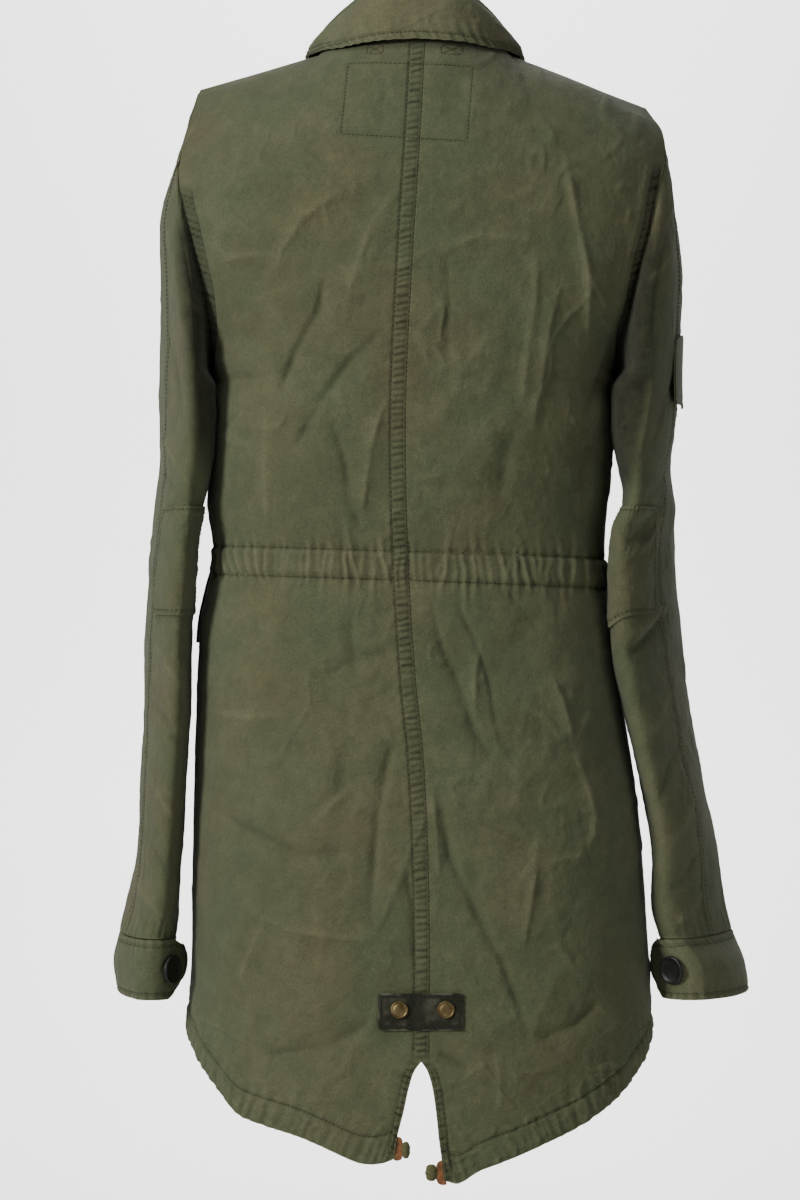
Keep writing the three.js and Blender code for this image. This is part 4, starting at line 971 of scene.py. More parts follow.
def armhole_run(side, face):
    z = np.linspace(ARMHOLE[side]["z"][0], UNDERARM, 401)
    run = run_along(armhole_point(side, face, z))
    return z, run / run[-1]


RUNS = {(s, f): armhole_run(s, f) for s in (LEFT, RIGHT) for f in ("back", "front")}


def ring_point(side, angle):
    points = []
    for face in ("back", "front"):
        z, share = RUNS[(side, face)]
        points.append(armhole_point(side, face, np.interp(np.abs(90 - angle) / 180, share, z)))
    return np.where((angle <= 90)[:, None], points[0], points[1])


# Fullness of the sleeve cap: its level, reach and height
CAP_FULLNESS = {LEFT: (-118, 40, 5.5), RIGHT: (-152, 62, 5)}
CAP_FIRST = np.array([0.78, 0.6, 0.21])
CAP_SECOND = np.array([1.05, 0.98, 0.55])
CAP_BAND = 10


def cap_point(side, angle, t):
    a, b = ring_point(side, angle), section_point(side, SLEEVE_START, angle)
    t = np.broadcast_to(np.asarray(t, float), np.shape(angle))
    c, d = mix(a, b, CAP_FIRST), mix(a, b, CAP_SECOND)
    c[:, 1] += 4 * np.maximum(0, np.cos(np.radians(angle)))
    w, v = (1 - t)[:, None], t[:, None]
    p = a * w**3 + c * 3 * w * w * v + d * 3 * w * v * v + b * v**3
    z0, wide, high = CAP_FULLNESS[side]
    outer = np.maximum(0, np.sin(np.radians(angle))) ** 1.5
    ends = np.minimum(1, t * 6) * np.minimum(1, (1 - t) * 6)
    p[:, 0] += side * high * outer * ends * bump(p[:, 2] - z0, wide)
    return p


# Creases of the sleeves, through places x, z seen from behind
SLEEVE_CREASES = {
    LEFT: [
        (3.4, 7, [(184, -114), (176, -148), (170, -180), (163, -212), (159, -262)]),
        (-2.6, 6, [(176, -110), (166, -150), (158, -190), (155, -230)]),
        (-2.4, 6, [(184, -200), (174, -232), (168, -262)]),
        (2.2, 6, [(186, -276), (172, -300), (160, -322)]),
        (-2.4, 6, [(188, -304), (176, -318), (164, -340)]),
        (2.0, 6, [(190, -430), (176, -452), (166, -468)]),
        (-2.2, 6, [(194, -470), (180, -486), (168, -508)]),
        (2.2, 7, [(196, -520), (184, -542), (174, -560)]),
        (-2.2, 6, [(198, -566), (188, -586), (176, -600)]),
        (2.4, 6, [(202, -606), (190, -622), (178, -634)]),
    ],
    RIGHT: [
        (3.4, 7, [(-188, -144), (-180, -160), (-168, -172)]),
        (-2.8, 6, [(-190, -112), (-182, -140), (-174, -172), (-170, -214)]),
        (2.8, 6, [(-172, -236), (-166, -270), (-160, -300)]),
        (-2.6, 6, [(-194, -232), (-180, -262), (-170, -290)]),
        (-2.4, 6, [(-190, -300), (-176, -318), (-164, -330)]),
        (-4.2, 6, [(-188, -408), (-168, -427), (-152, -441)]),
        (3.4, 6, [(-190, -398), (-170, -416), (-152, -430)]),
        (-3.6, 6, [(-186, -324), (-167, -344), (-150, -362)]),
        (3.0, 6, [(-186, -334), (-168, -355), (-152, -372)]),
        (2.4, 7, [(-182, -344), (-168, -372), (-156, -398)]),
        (2.4, 7, [(-196, -452), (-182, -476), (-170, -500)]),
        (-2.4, 6, [(-198, -500), (-186, -520), (-176, -548)]),
        (2.4, 6, [(-204, -540), (-194, -566), (-182, -584)]),
        (-2.6, 6, [(-208, -584), (-198, -600), (-184, -612)]),
        (2.2, 6, [(-212, -612), (-200, -628), (-188, -636)]),
    ],
}

# Inner side of the sleeves: level, reach and shift of the place closest to the body
UNDERARM_CLOSE = {LEFT: (-288, 38, 7), RIGHT: (-268, 32, 9)}

# Edge of the painted shade under the arm: depth below the neck and distance outward
SHADE_Z = [150, 187, 260, 305, 330, 345]
SHADE_X = {LEFT: [178, 173, 167, 161, 154, 142], RIGHT: [180, 178, 174, 164, 154, 142]}

# Painted shade on the inner side and painted light on the lower end and cuff of each sleeve
SLEEVE_SHADE = {LEFT: 0.0, RIGHT: 0.2}
LOW_SLEEVE_PAINTED_LIGHT = {LEFT: 0, RIGHT: 0.22}

BAND_ROWS = 18
CAP_ROWS = 64
ARM_ROWS = 156
SEAM_COLUMN = 139
SEAM_LINES = (1.2, 7.6)
HOLE_LINES = (1.6, 7.6)
TOP_COLUMNS = 140


def seam_angle(side):
    """Angle of the seam between the two pieces of a sleeve"""
    z, share = RUNS[(side, "back")]
    top = ARMHOLE[side]["z"][0]
    return 90 - 180 * float(np.interp(-mix(top, YOKE, 0.4), -z, share))


def band_share(side, angle):
    """Share of the cap's curve that the stitched band at the armhole takes at one angle"""
    a = np.array([float(angle)])
    start, end = ring_point(side, a)[0], section_point(side, SLEEVE_START, a)[0]
    slope = 3 * CAP_FIRST * (end - start)
    return float(np.clip(CAP_BAND / (np.linalg.norm(slope) + 1e-9), 0.02, 0.4))


def sleeve_grid(side, angles):
    """Points of a sleeve between two seam angles, from the armhole to the wrist"""
    start = np.array([band_share(side, angle) for angle in angles])
    p = [cap_point(side, angles, start * k / (BAND_ROWS - 1)) for k in range(BAND_ROWS)]
    for share in np.linspace(0, 1, CAP_ROWS - BAND_ROWS + 1)[1:]:
        p.append(cap_point(side, angles, mix(start, 1, share)))
    for z in np.linspace(SLEEVE_START, SLEEVE_END, ARM_ROWS)[1:]:
        p.append(section_point(side, z, angles))
    p = np.stack(p)
    eased(p, CAP_ROWS - 1, 8, 40)
    return p


def sleeve_inside(p):
    middle = (p.min(1) + p.max(1)) / 2
    return np.broadcast_to(middle[:, None], p.shape)


def whole_sleeve(side):
    """The full sleeve with its creases, cut later into its two pieces"""
    seam = seam_angle(side)
    under, over = np.linspace(-90, seam, SEAM_COLUMN + 1), np.linspace(seam, 270, TOP_COLUMNS)
    angles = np.concatenate([under, over[1:]])
    p = sleeve_grid(side, angles)
    n = normals(p, sleeve_inside(p))
    n[:, 0] = n[:, -1] = unit(n[:, 0] + n[:, -1])
    x, z = p[..., 0], p[..., 2]
    down, run = down_run(p), edge_run(p)
    facing = smooth(n[..., 1] * 1.6 + 0.35)
    around = np.cos(np.radians(angles))[None] * 70
    soft = soft_cloth(around + side * 300, z, 90 + side, 0.8)
    slow = np.sin(z / 15.0 + around / 22.0 + 1.8 * noise(around, z, 40, 8))
    soft += 0.5 * slow * smooth((-z - 250) / 60)
    start = smooth(down / 22)
    end = smooth((z - SLEEVE_END) / 14)
    fold, worn = creases(x, z, SLEEVE_CREASES[side])
    lift = (fold * facing + 0.75 * soft) * start * (0.25 + 0.75 * end)
    # Creases lighter on ridges for wear and a painted highlight, darker in troughs as painted shade
    tone = 0.2 * worn * facing
    # Under the arm the inner side lies close to the body, in its shade, which is painted into the colour
    under_z, reach, nearer = UNDERARM_CLOSE[side]
    inner = bump(angles[None, :] + 48, 27)
    near = np.where(z > under_z, smooth((-230 - z) / 16), bump(z - under_z, reach))
    limit = np.interp(-z, SHADE_Z, SHADE_X[side])
    tone -= 0.85 * smooth((limit - np.abs(x)) / 12) * smooth((-105 - z) / 40)
    # Painted shade along the inner side of the lower sleeve and painted light on its lower end
    tone -= SLEEVE_SHADE[side] * inner * smooth((-290 - z) / 40)
    tone += LOW_SLEEVE_PAINTED_LIGHT[side] * 0.7 * smooth((-430 - z) / 110)
    # Armhole seam: a ticked band between two stitched lines on the sleeve side; its puckers lighter on
    # their ridges and darker in their hollows, and its ticks darkened, as painted shade
    tick = marks(run + 0.2 * down, 5.4, 71 + side, 1.15)
    tick = tick * smooth((down - 1) / 1.2) * smooth((8 - down) / 1.2)
    line = bump(down - HOLE_LINES[0], 0.8) + bump(down - HOLE_LINES[1], 0.9)
    across = puckers(run + 0.2 * down, 8.5, 75 + side)
    across = across * bump(down, 16) * smooth(down / 2.5)
    lift += 0.5 * across + 0.5 * bump(down - 4.6, 3.6) - 0.5 * tick - 0.4 * line
    tone += 0.1 * across - 0.7 * tick - 0.3 * line
    # Stitched sleeve seam; its puckers lighter on their ridges and darker in their hollows as painted
    # shade
    at = run - run[:, SEAM_COLUMN:SEAM_COLUMN + 1]
    wave = puckers(z + 0.4 * at, 10.0, 81 + side) * bump(at, 9)
    line = bump(at - SEAM_LINES[0], 0.8) + bump(at - SEAM_LINES[1], 0.9)
    lift += (0.25 * wave - 0.35 * line + 0.4 * bump(at - 4.4, 3.0)) * start
    tone += 0.06 * wave - 0.1 * line
    # Gathers into the cuff, lighter on their ridges and darker in their hollows as painted shade
    wave = puckers(run, 8.5, 91 + side) * bump(z - SLEEVE_END, 13)
    lift += 0.6 * wave * smooth((z - SLEEVE_END) / 3)
    tone += 0.12 * wave
    moved = p + n * lift[..., None]
    moved[..., 0] -= side * nearer * inner * near
    return moved, angles, np.clip(tone, -0.85, 0.6)


sleeves = {}
for side in (LEFT, RIGHT):
    p, angles, tone = whole_sleeve(side)
    sleeves[side] = (p, angles)
    inside = sleeve_inside(p)
    for part, span in (("under", slice(0, SEAM_COLUMN + 1)), ("top", slice(SEAM_COLUMN, None))):
        cloth_piece(
            f"sleeve_{part}_cloth_{NAME[side]}", p[:, span], inside[:, span], CLOTH, tone[:, span],
            f"sleeve_{part}_{NAME[side]}", "hung", "back_" + NAME[side], "front_" + NAME[side],
        )

# Elbow patches with rounded corners


def sleeve_surface(side):
    """Looks up sleeve points at angles and levels"""
    p, angles = sleeves[side]
    n = normals(p, sleeve_inside(p))

    def at(angle, level):
        rows = p[:, 90, 2]
        r = np.interp(-level, -rows, np.arange(len(rows)))
        c = np.interp(angle, angles, np.arange(len(angles)))
        r0, c0 = np.clip(r.astype(int), 0, len(rows) - 2), np.clip(c.astype(int), 0, len(angles) - 2)
        fr, fc = (r - r0)[..., None], (c - c0)[..., None]

        def pick(g):
            low = mix(g[r0, c0], g[r0, c0 + 1], fc)
            return mix(low, mix(g[r0 + 1, c0], g[r0 + 1, c0 + 1], fc), fr)

        return pick(p), pick(n)

    return at


PATCH_TOP = -332
PATCH_HEIGHT = 79
PATCH_CORNER = 14
PATCH_HALF_ANGLE = 63
PATCH_STITCH = 3.2
stitched = []

for side in (LEFT, RIGHT):
    at = sleeve_surface(side)
    v = np.linspace(0, 1, 60)[:, None]
    w = np.linspace(-1, 1, 100)[None, :]
    level = PATCH_TOP - PATCH_HEIGHT * v + 0 * w
    if side == RIGHT:
        level = level - 9 * v * smooth(0.35 - w)
    from_end = np.minimum(v, 1 - v) * PATCH_HEIGHT
    half = PATCH_HALF_ANGLE - corner_cut(from_end, PATCH_CORNER) * 0.75
    angle = w * half
    q, n = at(angle, level)
    edge = np.minimum(from_end + 0 * w, (1 - np.abs(w)) * half * 0.9)
    line = bump(edge - PATCH_STITCH, 1)
    ridge = puckers(angle + level, 9.0, 7 + side) * 0.35 * bump(edge - 2, 4)
    lift = 1.7 + 0.24 * soft_cloth(angle * 1.2, level, 17 + side, 0.7) + ridge - 0.45 * line
    lift = lift - 0.5 * (1 - smooth(edge / 1.6))
    # Puckers near the edge lighter on their ridges and darker in their hollows as painted shade
    tone = 0.1 * bump(edge - 1, 1.6) - 0.2 * line + 0.3 * ridge
    q = q + n * lift[..., None]
    cloth_piece(
        "elbow_cloth_" + NAME[side], q, q - n, PATCH_CLOTH, tone,
        "elbow_patch_" + NAME[side], "laid", "sleeve_under_" + NAME[side], "sleeve_top_" + NAME[side],
    )
    inset = PATCH_STITCH / PATCH_HEIGHT
    down, over, full = np.linspace(inset, 1 - inset, 60), np.linspace(-1, 1, 60), np.ones(60)
    ring_v = np.concatenate([full * inset, down, full * (1 - inset), down[::-1]])
    ring_w = np.concatenate([over, full, over[::-1], -full])
    r = np.interp(ring_v, v[:, 0], np.arange(60)).astype(int)
    c = np.clip(((ring_w * 0.945 + 1) / 2 * 99).astype(int), 0, 99)
    stitched.append((q[r, c], n[r, c]))

# Cuffs
CUFF_TOP = -646.2
CUFF_BOTTOM = -690
CUFF_THICK = 2.2
CUFF_STITCH = 4.2
CUFF_START = 20
CUFF_SWEEP = 435
CUFF_TIP = 6
LAP_LIFT = CUFF_THICK + 0.7


def cuff_at(side, share, z):
    return section_point(side, z, CUFF_START - CUFF_SWEEP * share)


def cuff_place(side, share, z):
    """Cuff surface and its normal; the end laps over the start"""
    along = cuff_at(side, share + 0.004, z) - cuff_at(side, share - 0.004, z)
    up = cuff_at(side, share, z + 2) - cuff_at(side, share, z - 2)
    n = unit(np.cross(along, up) * side)
    lap = smooth((share - 360 / CUFF_SWEEP + 0.05) / 0.05) * LAP_LIFT
    return cuff_at(side, share, z) + n * lap[..., None], n


for side in (LEFT, RIGHT):
    share = np.concatenate([np.linspace(0, 0.9, 170), np.linspace(0.9, 1, 34)[1:]])[None, :]
    v = np.linspace(0, 1, 36)[:, None]
    end = smooth((share - 0.95) / 0.05)
    z = mix(CUFF_TOP - 5 * end, CUFF_BOTTOM + 14 * end, v)
    share = share + 0 * z
    q, n = cuff_place(side, share, z)
    q[..., 0] -= side * CUFF_TIP * end * np.sin(np.pi * mix(0.2, 0.8, v))
    run = edge_run(q)
    wave = puckers(run, 8.0, 101 + side) * 0.45
    edge = np.minimum(np.minimum(v, 1 - v) * 44 + 0 * z, edge_run(q, True) + 1)
    line = bump(edge - CUFF_STITCH, 1)
    lift = wave * bump(edge - 2, 6) - 0.5 * line + 0.25 * soft_cloth(run, z, 111 + side, 0.6)
    lift = lift - 0.9 * rounded(edge, 1.6)
    # Puckers lighter on their ridges and darker in their hollows as painted shade, and the right cuff
    # lighter all over as painted light
    tone = wave * 0.5 * bump(edge, 7) + 0.16 * bump(edge, 1.4) - 0.22 * line + LOW_SLEEVE_PAINTED_LIGHT[side]
    q = q + n * lift[..., None]
    cloth_piece(
        "cuff_cloth_" + NAME[side], q, q - n, CUFF_THICK, tone,
        "cuff_" + NAME[side], "hung", "sleeve_under_" + NAME[side], "sleeve_top_" + NAME[side],
    )
    for row in (4, 31):
        stitched.append((q[row, ::2], n[row, ::2]))

# Collar


def tree_of(objects):
    verts, faces = [], []
    for o in objects:
        start = len(verts)
        verts.extend(v.co.copy() for v in o.data.vertices)
        faces.extend([start + i for i in f.vertices] for f in o.data.polygons)
    return BVHTree.FromPolygons(verts, faces)


COLLAR = table("a foldX foldY foldZ edgeX edgeY edgeZ", [
    (0, 0, 45, 59, 0, 69, 3), (22, 27, 41, 51, 30, 66, 2.5), (45, 51, 25, 35, 57, 50, 2.5),
    (65, 66, 4, 22, 73, 24, 4.5), (85, 71, -14, 15, 80.5, -12, 5), (110, 70, -38, 8, 86, -52, -14),
    (140, 49, -68, -12, 76, -92, -52), (165, 21, -85, -30, 58, -110, -84),
    (176, 8, -88, -36, 46, -116, -98),
])
COLLAR_FOLD = 3.2
COLLAR_LEAN = -4
COLLAR_RAISE = 9.6
COLLAR_GAP = CLOTH + 1.2
COLLAR_STITCH = 5.4
COLLAR_COLUMNS = 330


def collar_grid(angles, across):
    """Collar points; across 0 is the neck seam, 0.5 the fold line and 1 the free edge"""
    a = np.abs(angles)
    side = np.where(angles < 0, RIGHT, LEFT)
    seam = neck_point(1, a)
    seam[:, 0] *= side
    inward = np.stack([-seam[:, 0], NECK_CENTRE_Y - seam[:, 1], 0 * a], -1)
    inward = unit(inward)
    start = seam + inward * 2.2 + np.array([0, 0, -2.5])
    lean = COLLAR_LEAN * clamp01(1 - a / 60)
    get = lambda c: read(COLLAR, "a", a, c)
    fold = np.stack([side * get("foldX") + lean, get("foldY"), get("foldZ")], -1)
    raised = get("edgeZ") + COLLAR_RAISE * clamp01(1 - (a / 75) ** 2.5)
    edge = np.stack([side * get("edgeX"), get("edgeY"), raised], -1)
    down = np.array([0, 0, COLLAR_FOLD])
    rows = []
    for w in across:
        if w <= 0.45:
            t = w / 0.45
            bow = 2 * math.sin(math.pi * t)
            rows.append(mix(start, fold + inward * COLLAR_FOLD - down, t) + inward * bow)
        elif w < 0.55:
            turn = (w - 0.45) / 0.1 * math.pi
            rows.append(fold - down + inward * COLLAR_FOLD * math.cos(turn) + down * math.sin(turn))
        else:
            t = (w - 0.55) / 0.45
            bow = -4 * math.sin(math.pi * t) * (1 - t * 0.4)
            rows.append(mix(fold - inward * COLLAR_FOLD - down, edge, t) + inward * bow)
    return np.stack(rows)


across = np.concatenate([
    np.linspace(0, 0.44, 18), np.linspace(0.45, 0.55, 10), np.linspace(0.56, 1, 52),
])
collar_angles = np.linspace(-174, 174, COLLAR_COLUMNS)
p = collar_grid(collar_angles, across)
body_cloth = tree_of(body_cloths)
press = np.zeros((len(collar_angles), 3))
for c, angle in enumerate(collar_angles):
    spot = p[-1, c]
    gap = spot - np.array(body_cloth.find_nearest(Vector(spot) * 0.001)[0]) * 1000
    distance = np.linalg.norm(gap)
    keep = smooth((125 - abs(angle)) / 30)
    press[c] = -gap / (distance + 1e-9) * np.clip(distance - COLLAR_GAP, 0, 9) * keep
for _ in range(60):
    press[1:-1] = softened(press)
p = p + press[None] * smooth((across - 0.62) / 0.38)[:, None, None]
middle = COLLAR_COLUMNS // 2
n = unit(np.cross(np.gradient(p, axis=1), np.gradient(p, axis=0)))
n *= np.sign(n[-8, middle, 1])
to_edge = -down_run(p, len(across) - 1)
run = edge_run(p)
wave = puckers(run + 0.2 * to_edge, 9.0, 121)
line = bump(to_edge - COLLAR_STITCH, 1)
tick = marks(run + 0.3 * to_edge, 5.2, 123, 0.9) * smooth((5.6 - to_edge) / 1.2)
soft = soft_cloth(p[..., 0], p[..., 2] * 1.4, 131, 0.8) * smooth(to_edge / 10)
fall = smooth((across - 0.52) / 0.06)[:, None]
lift = fall * (0.55 * wave * bump(to_edge, 12) - 0.55 * line + 0.6 * soft - 0.35 * tick)
lift -= 0.7 * rounded(to_edge, 1.4)
# The fall is lighter all over as painted light; its puckers lighter on their ridges and darker in their
# hollows, and the ticks between them darkened, as painted shade
tone = 0.2 + 0.1 * wave * bump(to_edge, 10) - 0.26 * line - 0.4 * tick + 0.12 * bump(to_edge, 1.2)
p = p + n * lift[..., None]
cloth_piece("collar_cloth", p, p - n, CLOTH, fall * tone, "collar", "folded", "back_left", "back_right")
row = int(np.argmin(np.abs(to_edge[:, middle] - COLLAR_STITCH)))
stitched.append((p[row], n[row]))

# Stitches, laid on the body's cloth
surface = body_cloth


def behind(x, z):
    """Outermost cloth point and normal straight behind a place x, z"""
    hit, n, _, _ = surface.ray_cast(Vector((x, 400.0, z)) * 0.001, Vector((0, -1, 0)))
    if hit is None:
        return None
    return np.array(hit) * 1000, np.array(n)


def resample(points, step):
    pts = np.asarray(points, float)
    run = run_along(pts)
    count = max(2, int(run[-1] / step))
    at = np.linspace(0, run[-1], count)
    return np.stack([np.interp(at, run, pts[:, i]) for i in range(pts.shape[1])], -1)


STITCH = 3.3
STITCH_SHARE = 2.4 / 3.3
THREAD_RADIUS = 0.3


def stitches(name, lines, material, radius=THREAD_RADIUS, pitch=STITCH):
    """Raised stitches along lines of points and normals, in one mesh"""
    long = STITCH_SHARE * pitch
    verts, faces = [], []
    for pts, nrm in lines:
        data = resample(np.concatenate([pts, nrm], 1), pitch / 4)
        p, n = data[:, :3], data[:, 3:]
        for k in range(1, len(p) - 4, 4):
            a, b = p[k], p[min(k + 3, len(p) - 1)]
            way = b - a
            size = np.linalg.norm(way)
            if size < 0.3 or size > 12:
                continue
            way /= size
            up = unit(n[k])
            across = unit(np.cross(way, up))
            middle = (a + b) / 2 + up * radius * 0.35
            start = len(verts)
            for t, r in ((-0.5, 0.35), (-0.3, 0.95), (0.3, 0.95), (0.5, 0.35)):
                arch = up * radius * (0.5 - 2.6 * t * t)
                for c, s in ((1, 0), (0, 1), (-1, 0), (0, -1)):
                    verts.append(middle + way * t * long + arch + (across * c + up * s) * radius * r)
            for i in range(3):
                for j in range(4):
                    o = start + i * 4
                    faces.append((o + j, o + (j + 1) % 4, o + 4 + (j + 1) % 4, o + 4 + j))
            faces.append(list(range(start + 3, start - 1, -1)))
            faces.append(list(range(start + 12, start + 16)))
    return wear(make_object(name, verts, faces, material))


def seen_line(places, step=1.2):
    """A stitched line through places x, z, laid on the cloth from behind"""
    found = [behind(x, z) for x, z in resample(places, step)]
    found = [f for f in found if f is not None]
    return np.array([f[0] for f in found]), np.array([f[1] for f in found])


def parallel_line(g, n, away, off):
    """Points and normals where the distance away comes nearest to off, one for each row"""
    r, c = np.arange(len(g)), np.argmin(np.abs(away - off), axis=1)
    return g[r, c], n[r, c]


def seam_x(z):
    return float(read(CENTRE_BACK, "z", z, "x"))


# Felled centre back seam: a narrow folded strip that crosses the waist casing
FELL_TOP = 6
FELL_ROWS = 860
zs = np.linspace(FELL_TOP, SLIT_TOP + 3, FELL_ROWS)
offsets = np.linspace(-FELL - 1.4, FELL + 1.2, 14)
p = np.array([[behind(seam_x(z) + d, z)[0] for d in offsets] for z in zs])
for _ in range(5):
    p[1:-1, :, 1] = softened(p[..., 1])
edge = np.minimum(offsets + FELL + 1.4, FELL + 1.2 - offsets)
line = bump(offsets + FELL, 0.75) + bump(offsets - FELL, 0.75)
line = line + 0.6 * bump(offsets + FELL - 1.9, 0.6)
along, aside = zs[:, None], offsets[None, :]
slant = 0.18 * aside + 0.9 * noise(along, 3.0, 9, 15) * aside / FELL
tick = marks(along + slant, 4.7, 6, 0.85 + 0.05 * (FELL - aside))
middle = smooth((FELL - 0.5 - np.abs(offsets)) / 1.4)
p[..., 1] += 0.1 + 0.5 * smooth(edge / 1.2) - 0.3 * line - 0.5 * tick * middle
# The ticks between the stitched lines are darkened as painted shade of the puckers
tone = 0.04 * middle - 0.85 * tick * middle - 0.34 * line + 0.16 * bump(offsets + FELL + 1.2, 0.7)
inside = p - np.array([0, 10.0, 0])
obj = cloth_piece("centre_seam", p, inside, 0.8, tone, None, "laid", "back_left", "back_right")
surface = tree_of(body_cloths + [obj])
zs = np.linspace(FELL_TOP - 2, SLIT_TOP + 6, 80)
back_lines = [seen_line([(seam_x(z) + d, z) for z in zs]) for d in (-FELL, FELL)]

# Waist casing, hem, slit, armholes, yoke outline and the two crossed tacks under the collar
for level in (CASING_TOP, CASING_BOTTOM):
    for lo, hi in ((142, 19), (2, -132)):
        back_lines.append(seen_line([(lo, level + CASING_SLOPE * lo), (hi, level + CASING_SLOPE * hi)]))
for side in (LEFT, RIGHT):
    g = backs[side]
    n = normals(g, centre_axis(g))
    hem_row = len(g) - HEM_ROWS
    back_lines.append((g[hem_row, 8:-2], n[hem_row, 8:-2]))
    low = np.flatnonzero(g[:-2, 0, 2] < SLIT_TOP - 3)
    for inset in SLIT_LINES:
        back_lines.append(parallel_line(g[low], n[low], edge_run(g)[low], inset))
back_lines += [seen_line([a, b]) for a, b in RECTANGLE]
tacks = []
for x0, x1, z0, z1 in ((34.9, 23.3, 2.8, -4.4), (-18.7, -34, 2.8, -4.8)):
    a, b, c, d = (x0, z0), (x1, z0), (x1, z1), (x0, z1)
    for start, end in ((a, b), (b, c), (c, d), (d, a), (a, c), (b, d)):
        tacks.append(seen_line([start, end], 0.8))
for side in (LEFT, RIGHT):
    g = sleeves[side][0]
    n = normals(g, sleeve_inside(g))
    run = edge_run(g)
    run = run - run[:, SEAM_COLUMN:SEAM_COLUMN + 1]
    stitched += [parallel_line(g[20:], n[20:], run[20:], off) for off in SEAM_LINES]
    g, n, run = g.swapaxes(0, 1), n.swapaxes(0, 1), down_run(g).T
    stitched += [parallel_line(g, n, run, off) for off in HOLE_LINES]

stitches("stitching_back", back_lines, THREAD)
stitches("stitching_tacks", tacks, BROWN_THREAD, 0.36, 1.9)
stitches("stitching_sleeves", stitched, SLEEVE_THREAD)

# Back tab and its snaps
TAB_LEFT, TAB_RIGHT = 26.5, -34
TAB_TOP, TAB_BOTTOM = -678.5, -705
TAB_THICK = 2
TAB_GAP = 0.5
TAB_CORNER = 2.5
TAB_CREASE = 1.5
TAB_STITCH = 2.6
SNAP_X = {LEFT: 11.4, RIGHT: -21.5}
SNAP_Z = -690


def plain_back(x, z):
    """Back surface across the centre seam, without creases"""
    x, z = np.broadcast_arrays(np.asarray(x, float), np.asarray(z, float))
    x0 = read(CENTRE_BACK, "z", z, "x")
    left = read(BODY, "z", z, "left") - x0
    right = read(BODY, "z", z, "right") + x0
    half = np.where(x < x0, right, left)
    full = read(BODY, "z", z, "full")
    s = np.minimum(1, np.abs(x - x0) / half)
    return np.stack([x, read(BODY, "z", z, "back") * (1 - s**full) ** (1 / full), z], -1)


v = np.linspace(0, 1, 40)[:, None]
w = np.linspace(0, 1, 80)[None, :]
from_end = np.minimum(v, 1 - v) * (TAB_TOP - TAB_BOTTOM)
short = corner_cut(from_end, TAB_CORNER)
x = mix(TAB_LEFT - short, TAB_RIGHT + short, w)
z = mix(TAB_TOP, TAB_BOTTOM, v) + 0 * w
q = plain_back(x, z)
n = normals(q, q - np.array([0, 50.0, 0]))
edge = np.minimum(from_end + 0 * w, np.minimum(TAB_LEFT - x, x - TAB_RIGHT))
line, from_crease = bump(edge - TAB_STITCH, 0.8), x - TAB_CREASE
lift = TAB_GAP + TAB_THICK + 0.45 * soft_cloth(x, z, 140, 0.45) - 0.4 * line
lift -= 0.8 * rounded(edge, 1.3)
for at_x in SNAP_X.values():
    lift -= 0.5 * bump(np.hypot(x - at_x, z - SNAP_Z), 8)
lift -= 0.55 * bump(from_crease, 2.6) - 0.45 * bump(from_crease + 6.5, 3)
tone = 1.1 * bump(edge, 0.8) * clamp01(0.5 + noise(x, z, 7, 145)) - 0.4 * line
# The crease across the tab is darkened as painted shade
tone += 0.22 * noise(x, z, 4, 146) + 0.2 * noise(x, z, 11, 147) - 0.25 * bump(from_crease, 4)
q = q + n * lift[..., None]
cloth_piece(
    "tab_cloth", q, q - n, TAB_THICK, tone, "back_tab", "laid", "back_left", "back_right", material=DARK
)
lines = [(q[r, 4:-4], n[r, 4:-4]) for r in (4, 35)]
lines += [(q[4:-4, c], n[4:-4, c]) for c in (4, 75)]
stitches("stitching_tab", lines, DARK_THREAD)


TURNS = 48


def lathe(name, profile, place, axis, material):
    """A turned piece: profile of (radius, height), seated at place with its axis along the normal"""
    axis = unit(np.asarray(axis, float))
    side = unit(np.cross(axis, [0, 0, 1.0]))
    other = np.cross(axis, side)
    verts, faces = [], []
    for r, h in profile:
        for k in range(TURNS):
            a = 2 * math.pi * k / TURNS
            verts.append(place + axis * h + (side * math.cos(a) + other * math.sin(a)) * r)
    for i in range(len(profile) - 1):
        for k in range(TURNS):
            a, b = i * TURNS + k, i * TURNS + (k + 1) % TURNS
            faces.append((a, b, b + TURNS, a + TURNS))
    return make_object(name, verts, faces, material)


SNAP_PROFILE = [
    (0.01, -0.4), (5.9, -0.4), (6.2, -0.1), (6.3, 0.35), (6.15, 0.8), (5.8, 1.1), (5.4, 1.2), (5.1, 1.12),
    (4.9, 0.95), (4.7, 0.9), (4.4, 1.0), (3.8, 1.28), (3.0, 1.5), (2.0, 1.64), (1.0, 1.7), (0.01, 1.72),
]
for side, x in SNAP_X.items():
    around = plain_back(*np.meshgrid(np.linspace(x - 3, x + 3, 5), np.linspace(SNAP_Z + 3, SNAP_Z - 3, 5)))
    place, out = around[2, 2], normals(around, 0 * around)[2, 2]
    place = place + out * (TAB_GAP + TAB_THICK + 0.3)
    snap = lathe("snap_cap_" + NAME[side], SNAP_PROFILE, place, out, BRASS)
    wear(snap, "snap_" + NAME[side])

# Buttons


def button_profile(radius, height):
    rim = radius * 0.82
    return [
        (0.01, 0), (radius * 0.9, 0), (radius, height * 0.3), (radius, height * 0.6),
        (radius * 0.96, height * 0.9), (radius * 0.9, height), (rim, height * 0.97),
        (rim * 0.94, height * 0.78), (rim * 0.7, height * 0.66), (0.01, height * 0.62),
    ]


for side, angle in ((LEFT, -25), (RIGHT, -13)):
    share = np.array((CUFF_START + 360 - angle) / CUFF_SWEEP)
    place, n = cuff_place(side, share, np.array(-668.0))
    form = button_profile(10.5, 3)
    obj = lathe("cuff_button_cap_" + NAME[side], form, place + n * 0.6, n, BUTTON)
    wear(obj, "cuff_button_" + NAME[side])

